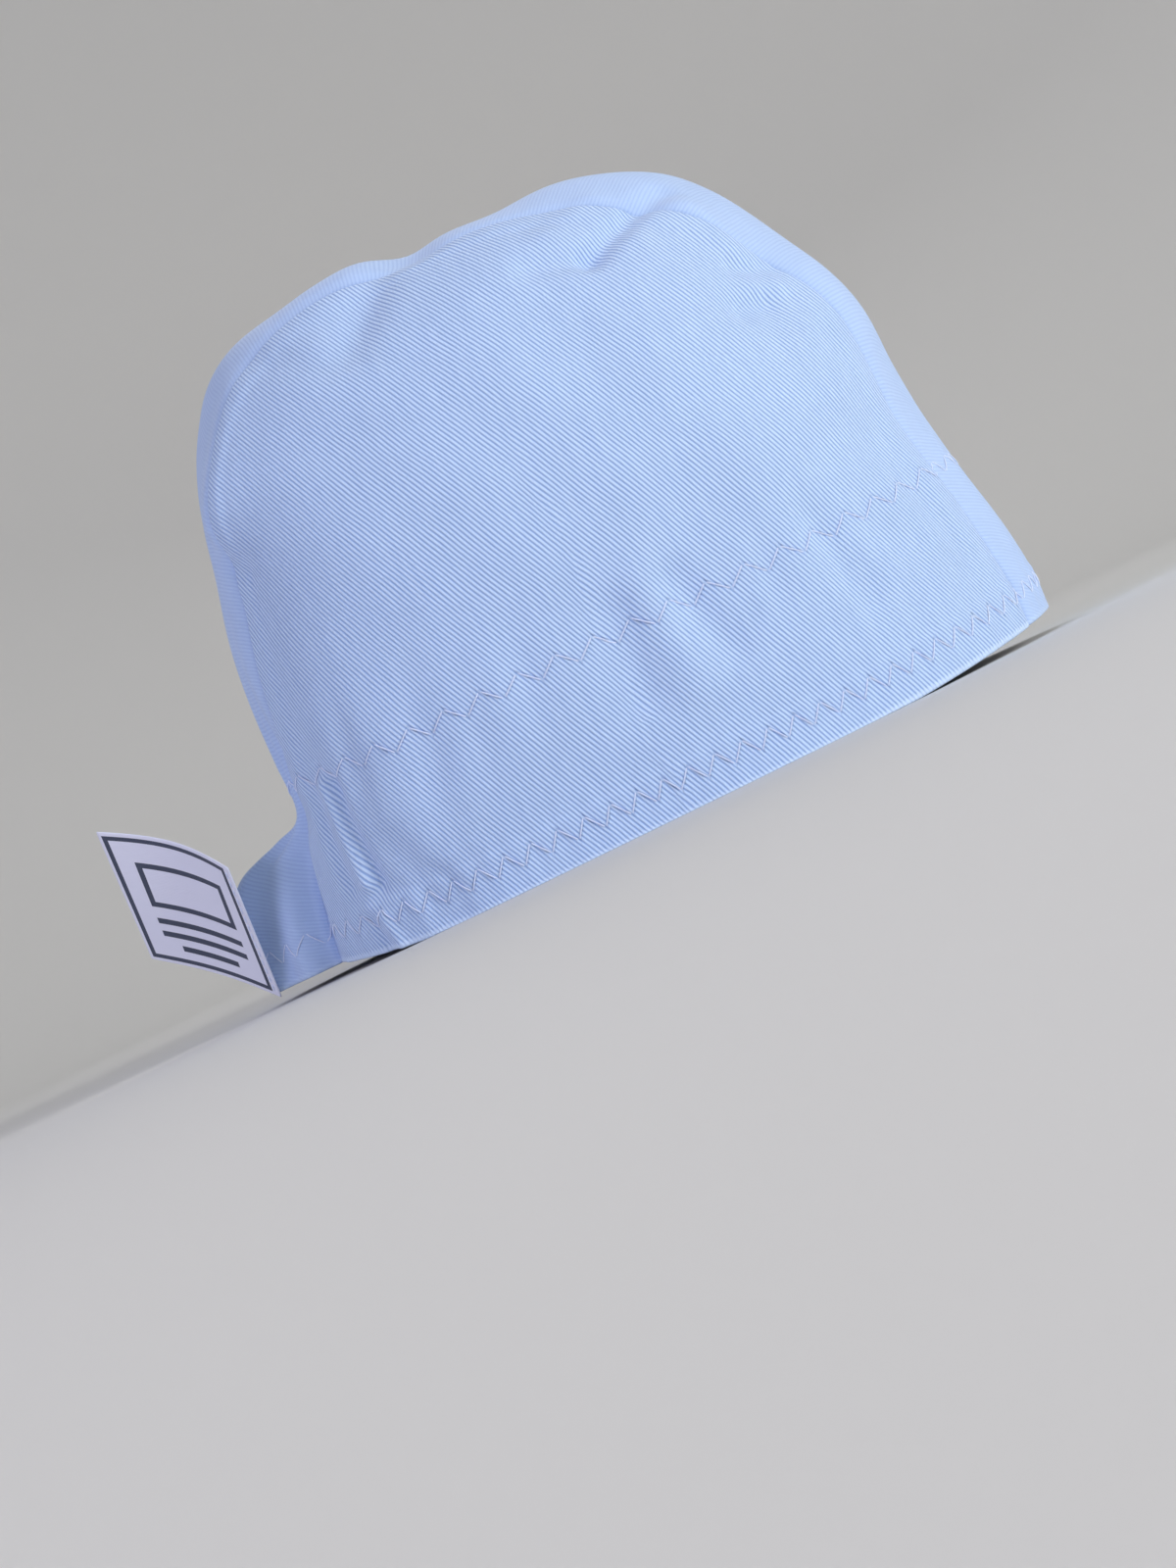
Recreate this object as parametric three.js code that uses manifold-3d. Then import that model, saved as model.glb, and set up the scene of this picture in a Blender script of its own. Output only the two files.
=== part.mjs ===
// A soft cotton welding cap without a bill: two side panels and a centre crown strip sewn
// into a deep rounded crown, a facing band inside the rim, a gathered tail at the back with
// a flared ruffle, and a plain size label sewn to the tail. Millimetres, +X to the front,
// +Y to the wearer's left, +Z up, resting on its rim.
import * as THREE from 'three';
import Module from 'manifold-3d';
import { mergeVertices } from 'three/addons/utils/BufferGeometryUtils.js';

// Driving dimensions
const CAP_LENGTH = 215; // from the gathered waist at the back to the front edge
const CAP_WIDTH = 152; // across the fullest part of the two side panels
const CAP_HEIGHT = 167; // from the rim to the middle of the crown strip
const TAIL_REACH = 25; // how far the flared tail stands out behind the waist
const TAIL_HALF_WIDTH = 25;
const TAIL_SHARPNESS = 4.3; // how abruptly the tail's sides turn into the waist
const CLOTH = 1.1; // side panels and crown strip
const BAND_CLOTH = 1.0;
const BAND_HEIGHT = 51; // depth of the facing band inside the rim
const BAND_TAPER = 0.2; // least step, in sections, between the band's top edge and the row below it
const BAND_SETBACK = 1.4; // how far the band's lower edge sits above the rim
const BAND_CLEAR = 0.4; // share of GATHER_DEPTH that the band keeps off the pleats
const BAND_CLEAR_EDGE = [1.2, 1.8]; // shares of TAIL_HALF_WIDTH over which that room closes
const SEAM_GAP = 0.3; // between sewn pieces
const STRIP_WIDTH = 94; // crown strip at its widest, over the top
const GATHER_DEPTH = 1.7; // half height of the small pleats that the elastic makes
const GATHER_PITCH = 8.6;
const GATHER_WANDER = 0.9; // how far the pleats stray from an even pitch
const GATHER_BEAT = 1.7; // radians of that straying in each pitch
const GATHER_LEAN = 0.35; // radians that the pleats lean from one section to the next
const GATHER_EDGE = [0.95, 1.4]; // shares of TAIL_HALF_WIDTH between which the pleats fade out
const TUCK_DEPTH = 3.2; // the deep pleat between each side panel and the tail
const TUCK_WIDTH = 4.2;
const TUCK_PLACE = 1.28; // share of TAIL_HALF_WIDTH
const FOLD_DEPTH = 3.0; // the deepest dent in the crown
const FOLD_REACH = 14; // half width of the widest dent
const LABEL_WIDTH = 41;
const LABEL_HEIGHT = 40;
const LABEL_CLOTH = 1.0;
const LABEL_CURL = 4.2; // how far the middle of the label bows towards the tail
const LABEL_SEAM = 1.8; // width of the label that is sewn down
const LABEL_CLEAR = 2.5; // between the label's lower corner and the surface below it
const LABEL_UP = [0.12, -0.42, 0.90]; // direction of the label's sewn edge
const LABEL_ALONG = [-0.70, 0.36, 0.58]; // direction in which it stands off the tail
const LABEL_CURL_LOW = 0.4; // share of the bow that is left at the label's lower edge

// Fineness of the faceted surfaces
const SIDE_COLUMNS = 26; // on each side, from the front to the gathers
const GATHER_COLUMNS = 24; // across the gathers
const LABEL_STEPS = 8;
const TOP_LEVEL = 10; // the section from which a further row of facets lies between sections
const SEAM_STEPS = 36;
const SLOPE_STEP = 0.01; // in radians around and in sections up
const SEARCH_STEPS = 30; // halvings of the range in which a level is looked for
const CREST_STEPS = 60; // places tried across the tail for the label's seat
const CREST_RANGE = { across: 1.1, sections: 4, step: 0.25 }; // across is a share of TAIL_HALF_WIDTH
const NO_LENGTH = 1e-9; // shorter directions count as none

const COTTON = { color: '#dfe6f7', roughness: 0.95, metalness: 0 };
const BAND_COTTON = { color: '#cdd6ee', roughness: 0.95, metalness: 0 };
const LABEL_SATIN = { color: '#e6eaf6', roughness: 0.6, metalness: 0 };

// Sections from the rim up to the middle of the crown. front_x and back_x are shares of
// CAP_LENGTH, half is a share of half CAP_WIDTH, every z is a share of CAP_HEIGHT, and
// tail_out is a share of TAIL_REACH. front_power and back_power square the plan's ends,
// gather is a share of GATHER_DEPTH and tuck a share of TUCK_DEPTH.
const SECTIONS = [
  { name: 'rim', front_x: 0.990, front_z: 0.044, half: 0.955, side_z: 0.000, back_x: -0.014, back_z: 0.034,
    tail_out: 0.72, tail_z: 0.030, front_power: 2.15, back_power: 2.7, gather: 1.00, tuck: 0.8 },
  { name: 'hem', front_x: 0.991, front_z: 0.104, half: 0.966, side_z: 0.062, back_x: -0.008, back_z: 0.090,
    tail_out: 0.84, tail_z: 0.085, front_power: 2.15, back_power: 2.8, gather: 0.90, tuck: 1.0 },
  { name: 'ruffle', front_x: 0.985, front_z: 0.168, half: 0.980, side_z: 0.134, back_x: 0.000, back_z: 0.148,
    tail_out: 0.88, tail_z: 0.152, front_power: 2.15, back_power: 2.9, gather: 0.75, tuck: 1.0 },
  { name: 'flare', front_x: 0.978, front_z: 0.231, half: 0.992, side_z: 0.206, back_x: 0.008, back_z: 0.203,
    tail_out: 0.72, tail_z: 0.206, front_power: 2.15, back_power: 2.9, gather: 0.60, tuck: 1.0 },
  { name: 'tail_top', front_x: 0.970, front_z: 0.288, half: 1.000, side_z: 0.268, back_x: 0.021, back_z: 0.245,
    tail_out: 0.34, tail_z: 0.236, front_power: 2.15, back_power: 2.9, gather: 0.55, tuck: 1.0 },
  { name: 'waist', front_x: 0.962, front_z: 0.344, half: 1.000, side_z: 0.330, back_x: 0.025, back_z: 0.288,
    tail_out: 0.02, tail_z: 0.254, front_power: 2.15, back_power: 2.9, gather: 0.75, tuck: 0.9 },
  { name: 'band_top', front_x: 0.956, front_z: 0.410, half: 0.998, side_z: 0.402, back_x: 0.030, back_z: 0.350,
    tail_out: 0, tail_z: 0.350, front_power: 2.15, back_power: 2.8, gather: 0.60, tuck: 0.6 },
  { name: 'temple', front_x: 0.953, front_z: 0.495, half: 0.990, side_z: 0.486, back_x: 0.033, back_z: 0.445,
    tail_out: 0, tail_z: 0.445, front_power: 2.15, back_power: 2.7, gather: 0.25, tuck: 0.3 },
  { name: 'wall', front_x: 0.946, front_z: 0.586, half: 0.972, side_z: 0.578, back_x: 0.041, back_z: 0.555,
    tail_out: 0, tail_z: 0.555, front_power: 2.15, back_power: 2.6, gather: 0.05, tuck: 0.1 },
  { name: 'brow', front_x: 0.928, front_z: 0.666, half: 0.935, side_z: 0.668, back_x: 0.051, back_z: 0.652,
    tail_out: 0, tail_z: 0.652, front_power: 2.15, back_power: 2.5, gather: 0, tuck: 0 },
  { name: 'bend', front_x: 0.903, front_z: 0.738, half: 0.880, side_z: 0.753, back_x: 0.065, back_z: 0.740,
    tail_out: 0, tail_z: 0.740, front_power: 2.15, back_power: 2.45, gather: 0, tuck: 0 },
  { name: 'turn', front_x: 0.873, front_z: 0.808, half: 0.810, side_z: 0.830, back_x: 0.088, back_z: 0.820,
    tail_out: 0, tail_z: 0.820, front_power: 2.15, back_power: 2.4, gather: 0, tuck: 0 },
  { name: 'shoulder', front_x: 0.839, front_z: 0.872, half: 0.728, side_z: 0.893, back_x: 0.115, back_z: 0.890,
    tail_out: 0, tail_z: 0.893, front_power: 2.15, back_power: 2.3, gather: 0, tuck: 0 },
  { name: 'ridge', front_x: 0.798, front_z: 0.927, half: 0.638, side_z: 0.943, back_x: 0.147, back_z: 0.950,
    tail_out: 0, tail_z: 0.950, front_power: 2.15, back_power: 2.2, gather: 0, tuck: 0 },
  { name: 'crown', front_x: 0.745, front_z: 0.962, half: 0.530, side_z: 0.975, back_x: 0.195, back_z: 0.985,
    tail_out: 0, tail_z: 0.985, front_power: 2.1, back_power: 2.1, gather: 0, tuck: 0 },
  { name: 'plateau', front_x: 0.671, front_z: 0.983, half: 0.390, side_z: 0.992, back_x: 0.272, back_z: 1.002,
    tail_out: 0, tail_z: 1.002, front_power: 2.0, back_power: 2.0, gather: 0, tuck: 0 },
  { name: 'top', front_x: 0.585, front_z: 0.996, half: 0.210, side_z: 1.000, back_x: 0.363, back_z: 1.004,
    tail_out: 0, tail_z: 1.004, front_power: 2.0, back_power: 2.0, gather: 0, tuck: 0 },
  { name: 'middle', front_x: 0.465, front_z: 1.000, half: 0.000, side_z: 1.000, back_x: 0.465, back_z: 1.000,
    tail_out: 0, tail_z: 1.000, front_power: 2.0, back_power: 2.0, gather: 0, tuck: 0 },
];
const SIDE_X = 0.465; // share of CAP_LENGTH where each section is widest
const SETTLE = 0.6; // how much of the rim's rise is pressed flat where the cap rests
const FRONT_TURN = 2.6; // how late a section's height changes towards its front end
const BACK_TURN = 3.2; // the same towards its back end

// Half width of the crown strip in plan, as a share of half STRIP_WIDTH, at shares of
// CAP_LENGTH from the waist.
const STRIP_PLAN = [
  { at: -0.30, half: 0.63 },
  { at: -0.02, half: 0.64 },
  { at: 0.03, half: 0.74 },
  { at: 0.07, half: 0.89 },
  { at: 0.10, half: 0.92 },
  { at: 0.15, half: 0.87 },
  { at: 0.20, half: 0.86 },
  { at: 0.30, half: 0.93 },
  { at: 0.46, half: 1.00 },
  { at: 0.68, half: 0.96 },
  { at: 0.88, half: 0.86 },
  { at: 0.97, half: 0.70 },
  { at: 1.10, half: 0.66 },
];

// Dents and swellings of the cloth, each along a line between two points. x is a share of
// CAP_LENGTH, y of half CAP_WIDTH (below 0 on the wearer's right) and z of CAP_HEIGHT; depth
// is a share of FOLD_DEPTH (below 0 swells) and reach a share of FOLD_REACH.
const FOLDS = [
  { name: 'right_crown_crease', from: [0.43, -0.54, 0.965], to: [0.34, -0.78, 0.855], depth: 0.75, reach: 0.45 },
  { name: 'right_top_dent', from: [0.455, -0.56, 0.965], to: [0.445, -0.10, 1.00], depth: 0.95, reach: 0.60 },
  { name: 'right_back_swell', from: [0.33, -0.52, 0.965], to: [0.40, -0.50, 0.975], depth: -0.45, reach: 0.80 },
  { name: 'right_back_bulge', from: [0.105, -0.60, 0.73], to: [0.165, -0.60, 0.90], depth: -1.10, reach: 0.75 },
  { name: 'right_back_hollow', from: [0.085, -0.62, 0.57], to: [0.070, -0.66, 0.44], depth: 0.55, reach: 0.80 },
  { name: 'right_front_swell', from: [0.76, -0.62, 0.87], to: [0.70, -0.70, 0.83], depth: -0.60, reach: 1.00 },
  { name: 'right_front_dent', from: [0.84, -0.60, 0.74], to: [0.80, -0.72, 0.66], depth: 0.45, reach: 0.90 },
  { name: 'right_brow_swell', from: [0.89, -0.58, 0.62], to: [0.86, -0.66, 0.50], depth: -0.45, reach: 1.00 },
  { name: 'right_back_pull', from: [0.06, -0.72, 0.36], to: [0.09, -0.80, 0.10], depth: 0.60, reach: 0.40 },
  { name: 'right_hem_pull', from: [0.13, -0.84, 0.15], to: [0.16, -0.88, 0.02], depth: 0.40, reach: 0.40 },
  { name: 'left_crown_crease', from: [0.50, 0.56, 0.96], to: [0.41, 0.80, 0.85], depth: 0.65, reach: 0.50 },
  { name: 'left_top_dent', from: [0.25, 0.50, 0.955], to: [0.27, 0.22, 0.99], depth: 0.85, reach: 1.00 },
  { name: 'left_back_bulge', from: [0.110, 0.60, 0.76], to: [0.165, 0.58, 0.89], depth: -0.80, reach: 0.80 },
  { name: 'left_front_swell', from: [0.75, 0.62, 0.87], to: [0.69, 0.70, 0.82], depth: -0.55, reach: 1.00 },
  { name: 'left_brow_dent', from: [0.86, 0.60, 0.70], to: [0.82, 0.74, 0.60], depth: 0.45, reach: 0.90 },
  { name: 'left_back_pull', from: [0.06, 0.72, 0.38], to: [0.08, 0.80, 0.12], depth: 0.55, reach: 0.45 },
  { name: 'crown_sag', from: [0.57, 0.35, 1.00], to: [0.55, -0.50, 0.98], depth: 1.10, reach: 1.90 },
];

const wasm = await Module();
wasm.setup();

const clamp = (value, low, high) => Math.min(Math.max(value, low), high);

function smoothStep(low, high, value) {
  const t = clamp((value - low) / (high - low), 0, 1);
  return t * t * (3 - 2 * t);
}

// Smooth curve through four neighbouring values of a table, at share t between the middle two.
function through(before, start, end, after, t) {
  const turn = end - before;
  const bow = 2 * before - 5 * start + 4 * end - after;
  const twist = 3 * start - before - 3 * end + after;
  return 0.5 * (2 * start + turn * t + bow * t * t + twist * t * t * t);
}

// One column of SECTIONS at level v, which counts the sections from 0 at the rim.
function section(column, v) {
  const last = SECTIONS.length - 1;
  const index = clamp(Math.floor(v), 0, last - 1);
  const value = (k) => SECTIONS[clamp(k, 0, last)][column];
  return through(value(index - 1), value(index), value(index + 1), value(index + 2), v - index);
}

// Half width of the crown strip at x, on a smooth curve through the rows of STRIP_PLAN.
function stripHalfWidth(x) {
  const rows = STRIP_PLAN;
  const share = clamp(x / CAP_LENGTH, rows[0].at, rows.at(-1).at);
  const found = rows.findIndex((row) => row.at > share);
  const high = found < 1 ? rows.length - 1 : found;
  const slope = (k) => {
    const before = rows[Math.max(k - 1, 0)];
    const after = rows[Math.min(k + 1, rows.length - 1)];
    return (after.half - before.half) / (after.at - before.at);
  };
  const start = rows[high - 1];
  const end = rows[high];
  const span = end.at - start.at;
  const t = (share - start.at) / span;
  const bend = (1 - t) ** 2 * t * span * slope(high - 1) - t ** 2 * (1 - t) * span * slope(high);
  return (STRIP_WIDTH / 2) * (start.half + (end.half - start.half) * t * t * (3 - 2 * t) + bend);
}

// 1 across the tail and 0 outside it, at distance y from the middle.
const tailShare = (y) => 0.5 * (1 - Math.tanh((Math.abs(y) / TAIL_HALF_WIDTH - 1) * TAIL_SHARPNESS));

// The cap before its pleats and dents: a ring of a squared oval at each level, with angle 0
// at the front, a quarter turn on the wearer's right and half a turn at the back.
function plainPoint(angle, v) {
  const c = Math.cos(angle);
  const s = Math.sin(angle);
  const front = c >= 0;
  const power = 2 / section(front ? 'front_power' : 'back_power', v);
  const end = front ? section('front_x', v) - SIDE_X : SIDE_X - section('back_x', v);
  const y = (-Math.sign(s) * section('half', v) * CAP_WIDTH * Math.abs(s) ** power) / 2;
  let x = (SIDE_X + Math.sign(c) * end * Math.abs(c) ** power) * CAP_LENGTH;
  const turn = Math.abs(c) ** (front ? FRONT_TURN : BACK_TURN);
  const endZ = section(front ? 'front_z' : 'back_z', v);
  let z = section('side_z', v) * (1 - turn) + endZ * turn;
  if (!front) {
    const tail = tailShare(y);
    x -= section('tail_out', v) * TAIL_REACH * tail;
    z += (section('tail_z', v) - section('back_z', v)) * tail;
  }
  const pressed = SETTLE * (1 - Math.min(v, 1));
  return new THREE.Vector3(x, y, Math.max(z * CAP_HEIGHT - pressed, 0));
}

// The outward direction of a surface, from its slopes around and up.
function normalOf(point, angle, v) {
  const last = SECTIONS.length - 1;
  const high = Math.min(v + SLOPE_STEP, last);
  const low = Math.max(v - SLOPE_STEP, 0);
  const across = point(angle + SLOPE_STEP, v).sub(point(angle - SLOPE_STEP, v));
  const up = point(angle, high).sub(point(angle, low));
  const normal = up.cross(across);
  return normal.length() > NO_LENGTH ? normal.normalize() : new THREE.Vector3(0, 0, 1);
}

// The elastic's small pleats and the deep tuck beside the tail, outwards from the plain cap,
// at distance y from the middle.
function gatherRise(y, v) {
  const within = 1 - smoothStep(...GATHER_EDGE, Math.abs(y) / TAIL_HALF_WIDTH);
  const stray = GATHER_WANDER * Math.sin((GATHER_BEAT * y) / GATHER_PITCH);
  const wave = Math.cos((2 * Math.PI * (y + stray)) / GATHER_PITCH + GATHER_LEAN * v);
  return section('gather', v) * GATHER_DEPTH * wave * within;
}

function tuckRise(y, v) {
  const off = Math.abs(y) - TUCK_PLACE * TAIL_HALF_WIDTH;
  return -section('tuck', v) * TUCK_DEPTH * Math.exp(-((off / TUCK_WIDTH) ** 2));
}

// How far the dents and swellings move a point outwards.
function foldRise(point) {
  let rise = 0;
  for (const fold of FOLDS) {
    const place = ([x, y, z]) => new THREE.Vector3(x * CAP_LENGTH, (y * CAP_WIDTH) / 2, z * CAP_HEIGHT);
    const near = new THREE.Vector3();
    new THREE.Line3(place(fold.from), place(fold.to)).closestPointToPoint(point, true, near);
    const off = near.distanceTo(point) / (fold.reach * FOLD_REACH);
    rise -= fold.depth * FOLD_DEPTH * Math.exp(-(off ** 2));
  }
  return rise;
}

// The cap's outer surface, with or without the small pleats at the back.
function capPoint(angle, v, pleats = true) {
  const point = plainPoint(angle, v);
  const behind = Math.cos(angle) < 0;
  let rise = foldRise(point);
  if (behind) rise += tuckRise(point.y, v);
  if (behind && pleats) rise += gatherRise(point.y, v);
  const normal = normalOf(plainPoint, angle, v);
  if (v < 1) normal.z *= v;
  return point.addScaledVector(normal.normalize(), rise);
}

// A point the given depth inside the cap's outer surface; at the rim it keeps its height.
function layerPoint(angle, v, depth, pleats = true) {
  const surface = (a, b) => capPoint(a, b, pleats);
  const normal = normalOf(surface, angle, v);
  if (v < 1) normal.z *= v;
  return capPoint(angle, v, pleats).addScaledVector(normal.normalize(), -depth);
}

// The angle whose point on the back of the cap is at distance y from the middle.
function backAngle(y) {
  const share = Math.abs(y) / (CAP_WIDTH / 2);
  return Math.PI + Math.sign(y) * Math.asin(share ** (section('back_power', 2) / 2));
}

// Angles of the columns once around: even steps along the sides, and even widths across
// the gathers at the back.
function columnAngles() {
  const reach = GATHER_EDGE[1] * TAIL_HALF_WIDTH;
  const first = backAngle(-reach);
  const angles = [];
  for (let i = 0; i < SIDE_COLUMNS; i += 1) {
    angles.push((first * i) / SIDE_COLUMNS);
  }
  for (let i = 0; i < GATHER_COLUMNS; i += 1) {
    angles.push(backAngle(-reach + (2 * reach * i) / GATHER_COLUMNS));
  }
  for (let i = SIDE_COLUMNS; i > 0; i -= 1) {
    angles.push(2 * Math.PI - (first * i) / SIDE_COLUMNS);
  }
  return angles;
}

// Joins loops of equally many points, each facing out to the right of the next, into a band
// of triangles.
function addLoops(triangles, lower, upper, count) {
  for (let i = 0; i < count; i += 1) {
    const next = (i + 1) % count;
    triangles.push(lower + i, upper + i, lower + next);
    triangles.push(lower + next, upper + i, upper + next);
  }
}

function solidOf(points, triangles) {
  const vertProperties = new Float32Array(points.flatMap((p) => [p.x, p.y, p.z]));
  return new wasm.Manifold(new wasm.Mesh({ numProp: 3, vertProperties, triVerts: new Uint32Array(triangles) }));
}

// The whole crown in one piece of cloth, closed over the middle of the top.
function crownShell() {
  const angles = columnAngles();
  const count = angles.length;
  const last = SECTIONS.length - 1;
  const levels = [];
  for (let v = 0; v < last; v += v < TOP_LEVEL ? 1 : 0.5) levels.push(v);
  const points = [];
  const triangles = [];
  for (const depth of [0, CLOTH]) {
    const start = points.length;
    for (const v of levels) {
      points.push(...angles.map((angle) => layerPoint(angle, v, depth)));
    }
    points.push(capPoint(0, last).add(new THREE.Vector3(0, 0, -depth)));
    const middle = points.length - 1;
    const side = [];
    const top = start + (levels.length - 1) * count;
    for (let lower = start; lower < top; lower += count) {
      addLoops(side, lower, lower + count, count);
    }
    for (let i = 0; i < count; i += 1) {
      side.push(top + i, middle, top + ((i + 1) % count));
    }
    if (depth > 0) side.reverse();
    triangles.push(...side);
  }
  const inner = levels.length * count + 1;
  addLoops(triangles, inner, 0, count);
  return solidOf(points, triangles);
}

function geometryOf(solid) {
  const mesh = solid.getMesh();
  const geometry = new THREE.BufferGeometry();
  geometry.setAttribute('position', new THREE.BufferAttribute(mesh.vertProperties, 3));
  geometry.setIndex(new THREE.BufferAttribute(mesh.triVerts, 1));
  geometry.computeVertexNormals();
  return geometry;
}

// A tall block over a plan outline, used to cut the crown along its seams.
function planBlock(outline) {
  const depth = 2 * CAP_HEIGHT;
  const geometry = new THREE.ExtrudeGeometry(new THREE.Shape(outline), { depth, bevelEnabled: false });
  geometry.translate(0, 0, -CAP_HEIGHT / 2);
  geometry.deleteAttribute('normal');
  geometry.deleteAttribute('uv');
  const merged = mergeVertices(geometry);
  return new wasm.Manifold(
    new wasm.Mesh({
      numProp: 3,
      vertProperties: new Float32Array(merged.attributes.position.array),
      triVerts: new Uint32Array(merged.index.array),
    }),
  );
}

// The strip's plan edge on one side, moved off the seam by half its gap.
function seamEdge(side, offset) {
  const from = STRIP_PLAN[0].at * CAP_LENGTH;
  const to = STRIP_PLAN.at(-1).at * CAP_LENGTH;
  return Array.from({ length: SEAM_STEPS + 1 }, (_, i) => {
    const x = from + ((to - from) * i) / SEAM_STEPS;
    return new THREE.Vector2(x, side * (stripHalfWidth(x) + offset));
  });
}

function stripBlock() {
  const left = seamEdge(1, -SEAM_GAP / 2);
  const right = seamEdge(-1, -SEAM_GAP / 2);
  return planBlock([...right, ...left.reverse()]);
}

function sideBlock(side) {
  const edge = seamEdge(side, SEAM_GAP / 2);
  const far = side * CAP_WIDTH;
  const corners = [new THREE.Vector2(edge.at(-1).x, far), new THREE.Vector2(edge[0].x, far)];
  const outline = [...edge, ...corners];
  return planBlock(side > 0 ? outline : outline.reverse());
}

// The level where the outer surface at an angle stands a given height above the rim.
function levelAt(angle, height) {
  let low = 0;
  let high = SECTIONS.length - 1;
  for (let i = 0; i < SEARCH_STEPS; i += 1) {
    const middle = (low + high) / 2;
    const below = plainPoint(angle, middle).z - plainPoint(angle, 0).z < height;
    low = below ? middle : low;
    high = below ? high : middle;
  }
  return (low + high) / 2;
}

// The facing band: a ring of its own cloth inside the crown, smooth behind the pleats.
function bandShell() {
  const angles = columnAngles();
  const count = angles.length;
  const points = [];
  const triangles = [];
  const outside = (angle, v) => {
    const y = plainPoint(angle, v).y;
    const open = 1 - smoothStep(...BAND_CLEAR_EDGE, Math.abs(y) / TAIL_HALF_WIDTH);
    const behind = Math.cos(angle) < 0 ? open : 0;
    return CLOTH + SEAM_GAP + behind * GATHER_DEPTH * (BAND_CLEAR + section('gather', v));
  };
  const levelsAt = (angle) => {
    const foot = levelAt(angle, BAND_SETBACK);
    const top = levelAt(angle, BAND_HEIGHT);
    const most = Math.ceil(levelAt(Math.PI, BAND_HEIGHT)) - 1;
    const between = Array.from({ length: most }, (_, k) => Math.min(k + 1, top - BAND_TAPER));
    return [foot, ...between, top];
  };
  const rows = levelsAt(0).length;
  for (const extra of [0, BAND_CLOTH]) {
    for (let k = 0; k < rows; k += 1) {
      for (const angle of angles) {
        const v = levelsAt(angle)[k];
        points.push(layerPoint(angle, v, outside(angle, v) + extra, false));
      }
    }
  }
  const inner = rows * count;
  for (let k = 1; k < rows; k += 1) {
    addLoops(triangles, (k - 1) * count, k * count, count);
    addLoops(triangles, inner + k * count, inner + (k - 1) * count, count);
  }
  addLoops(triangles, inner, 0, count);
  addLoops(triangles, (rows - 1) * count, inner + (rows - 1) * count, count);
  return solidOf(points, triangles);
}

// The point of the tail's right side that stands out furthest along a direction.
function tailCrest(direction) {
  const crest = new THREE.Vector3();
  let reach = -Infinity;
  for (let i = 0; i <= CREST_STEPS; i += 1) {
    const share = (CREST_RANGE.across * (i - CREST_STEPS)) / CREST_STEPS;
    const angle = backAngle(share * TAIL_HALF_WIDTH);
    for (let v = 0; v <= CREST_RANGE.sections; v += CREST_RANGE.step) {
      const point = capPoint(angle, v);
      if (point.dot(direction) > reach) {
        reach = point.dot(direction);
        crest.copy(point);
      }
    }
  }
  return crest;
}

// The label: a slightly bowed rectangle whose front edge is sewn to the tail's right side.
function labelSolid() {
  const up = new THREE.Vector3(...LABEL_UP).normalize();
  const along = new THREE.Vector3(...LABEL_ALONG).normalize();
  const normal = new THREE.Vector3().crossVectors(up, along).normalize();
  const foot = tailCrest(normal)
    .addScaledVector(normal, SEAM_GAP + LABEL_CLOTH / 2)
    .addScaledVector(along, -LABEL_SEAM);
  foot.addScaledVector(up, (LABEL_CLEAR - foot.z) / up.z);
  const points = [];
  const triangles = [];
  const row = LABEL_STEPS + 1;
  const index = (layer, i, k) => layer * row * row + i * row + k;
  for (const layer of [0, 1]) {
    for (let i = 0; i < row; i += 1) {
      for (let k = 0; k < row; k += 1) {
        const s = i / LABEL_STEPS;
        const t = k / LABEL_STEPS;
        const bow = LABEL_CURL * Math.sin(Math.PI * s) * (LABEL_CURL_LOW + (1 - LABEL_CURL_LOW) * t);
        points.push(
          foot
            .clone()
            .addScaledVector(along, s * LABEL_WIDTH)
            .addScaledVector(up, t * LABEL_HEIGHT)
            .addScaledVector(normal, (layer - 0.5) * LABEL_CLOTH - bow),
        );
      }
    }
  }
  const quad = (a, b, c, d) => triangles.push(a, b, c, a, c, d);
  const far = LABEL_STEPS;
  for (let i = 0; i < far; i += 1) {
    for (let k = 0; k < far; k += 1) {
      quad(index(1, i, k), index(1, i, k + 1), index(1, i + 1, k + 1), index(1, i + 1, k));
      quad(index(0, i, k), index(0, i + 1, k), index(0, i + 1, k + 1), index(0, i, k + 1));
    }
    quad(index(0, i, 0), index(1, i, 0), index(1, i + 1, 0), index(0, i + 1, 0));
    quad(index(0, i + 1, far), index(1, i + 1, far), index(1, i, far), index(0, i, far));
    quad(index(0, 0, i + 1), index(1, 0, i + 1), index(1, 0, i), index(0, 0, i));
    quad(index(0, far, i), index(1, far, i), index(1, far, i + 1), index(0, far, i + 1));
  }
  return solidOf(points, triangles);
}

function meshOf(name, solid, finish) {
  const mesh = new THREE.Mesh(geometryOf(solid), new THREE.MeshStandardMaterial(finish));
  mesh.name = name;
  return mesh;
}

const crown = crownShell();
const cap = new THREE.Group();
cap.add(meshOf('crown_strip', crown.intersect(stripBlock()), COTTON));
cap.add(meshOf('side_panel_right', crown.intersect(sideBlock(-1)), COTTON));
cap.add(meshOf('side_panel_left', crown.intersect(sideBlock(1)), COTTON));
cap.add(meshOf('sweatband', bandShell(), BAND_COTTON));
cap.add(meshOf('size_label', labelSolid(), LABEL_SATIN));

// The origin is the middle of the surface that the cap rests on.
const box = new THREE.Box3().setFromObject(cap);
const middle = box.getCenter(new THREE.Vector3());
cap.position.set(-middle.x, -middle.y, -box.min.z);
cap.updateMatrixWorld(true);

export default cap;
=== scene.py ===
"""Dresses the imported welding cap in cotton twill, zigzag stitching and a size label.

Surfaces are worked out in millimetres in the cap's sewing frame: x runs from the waist at the
back to the front edge, y to the wearer's left and z up from the rim. A place on the cap has an
angle (0 at the front, a quarter turn on the wearer's right, half a turn at the back) and a
level, which counts the rows of SECTIONS from 0 at the rim.
"""
import math

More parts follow.
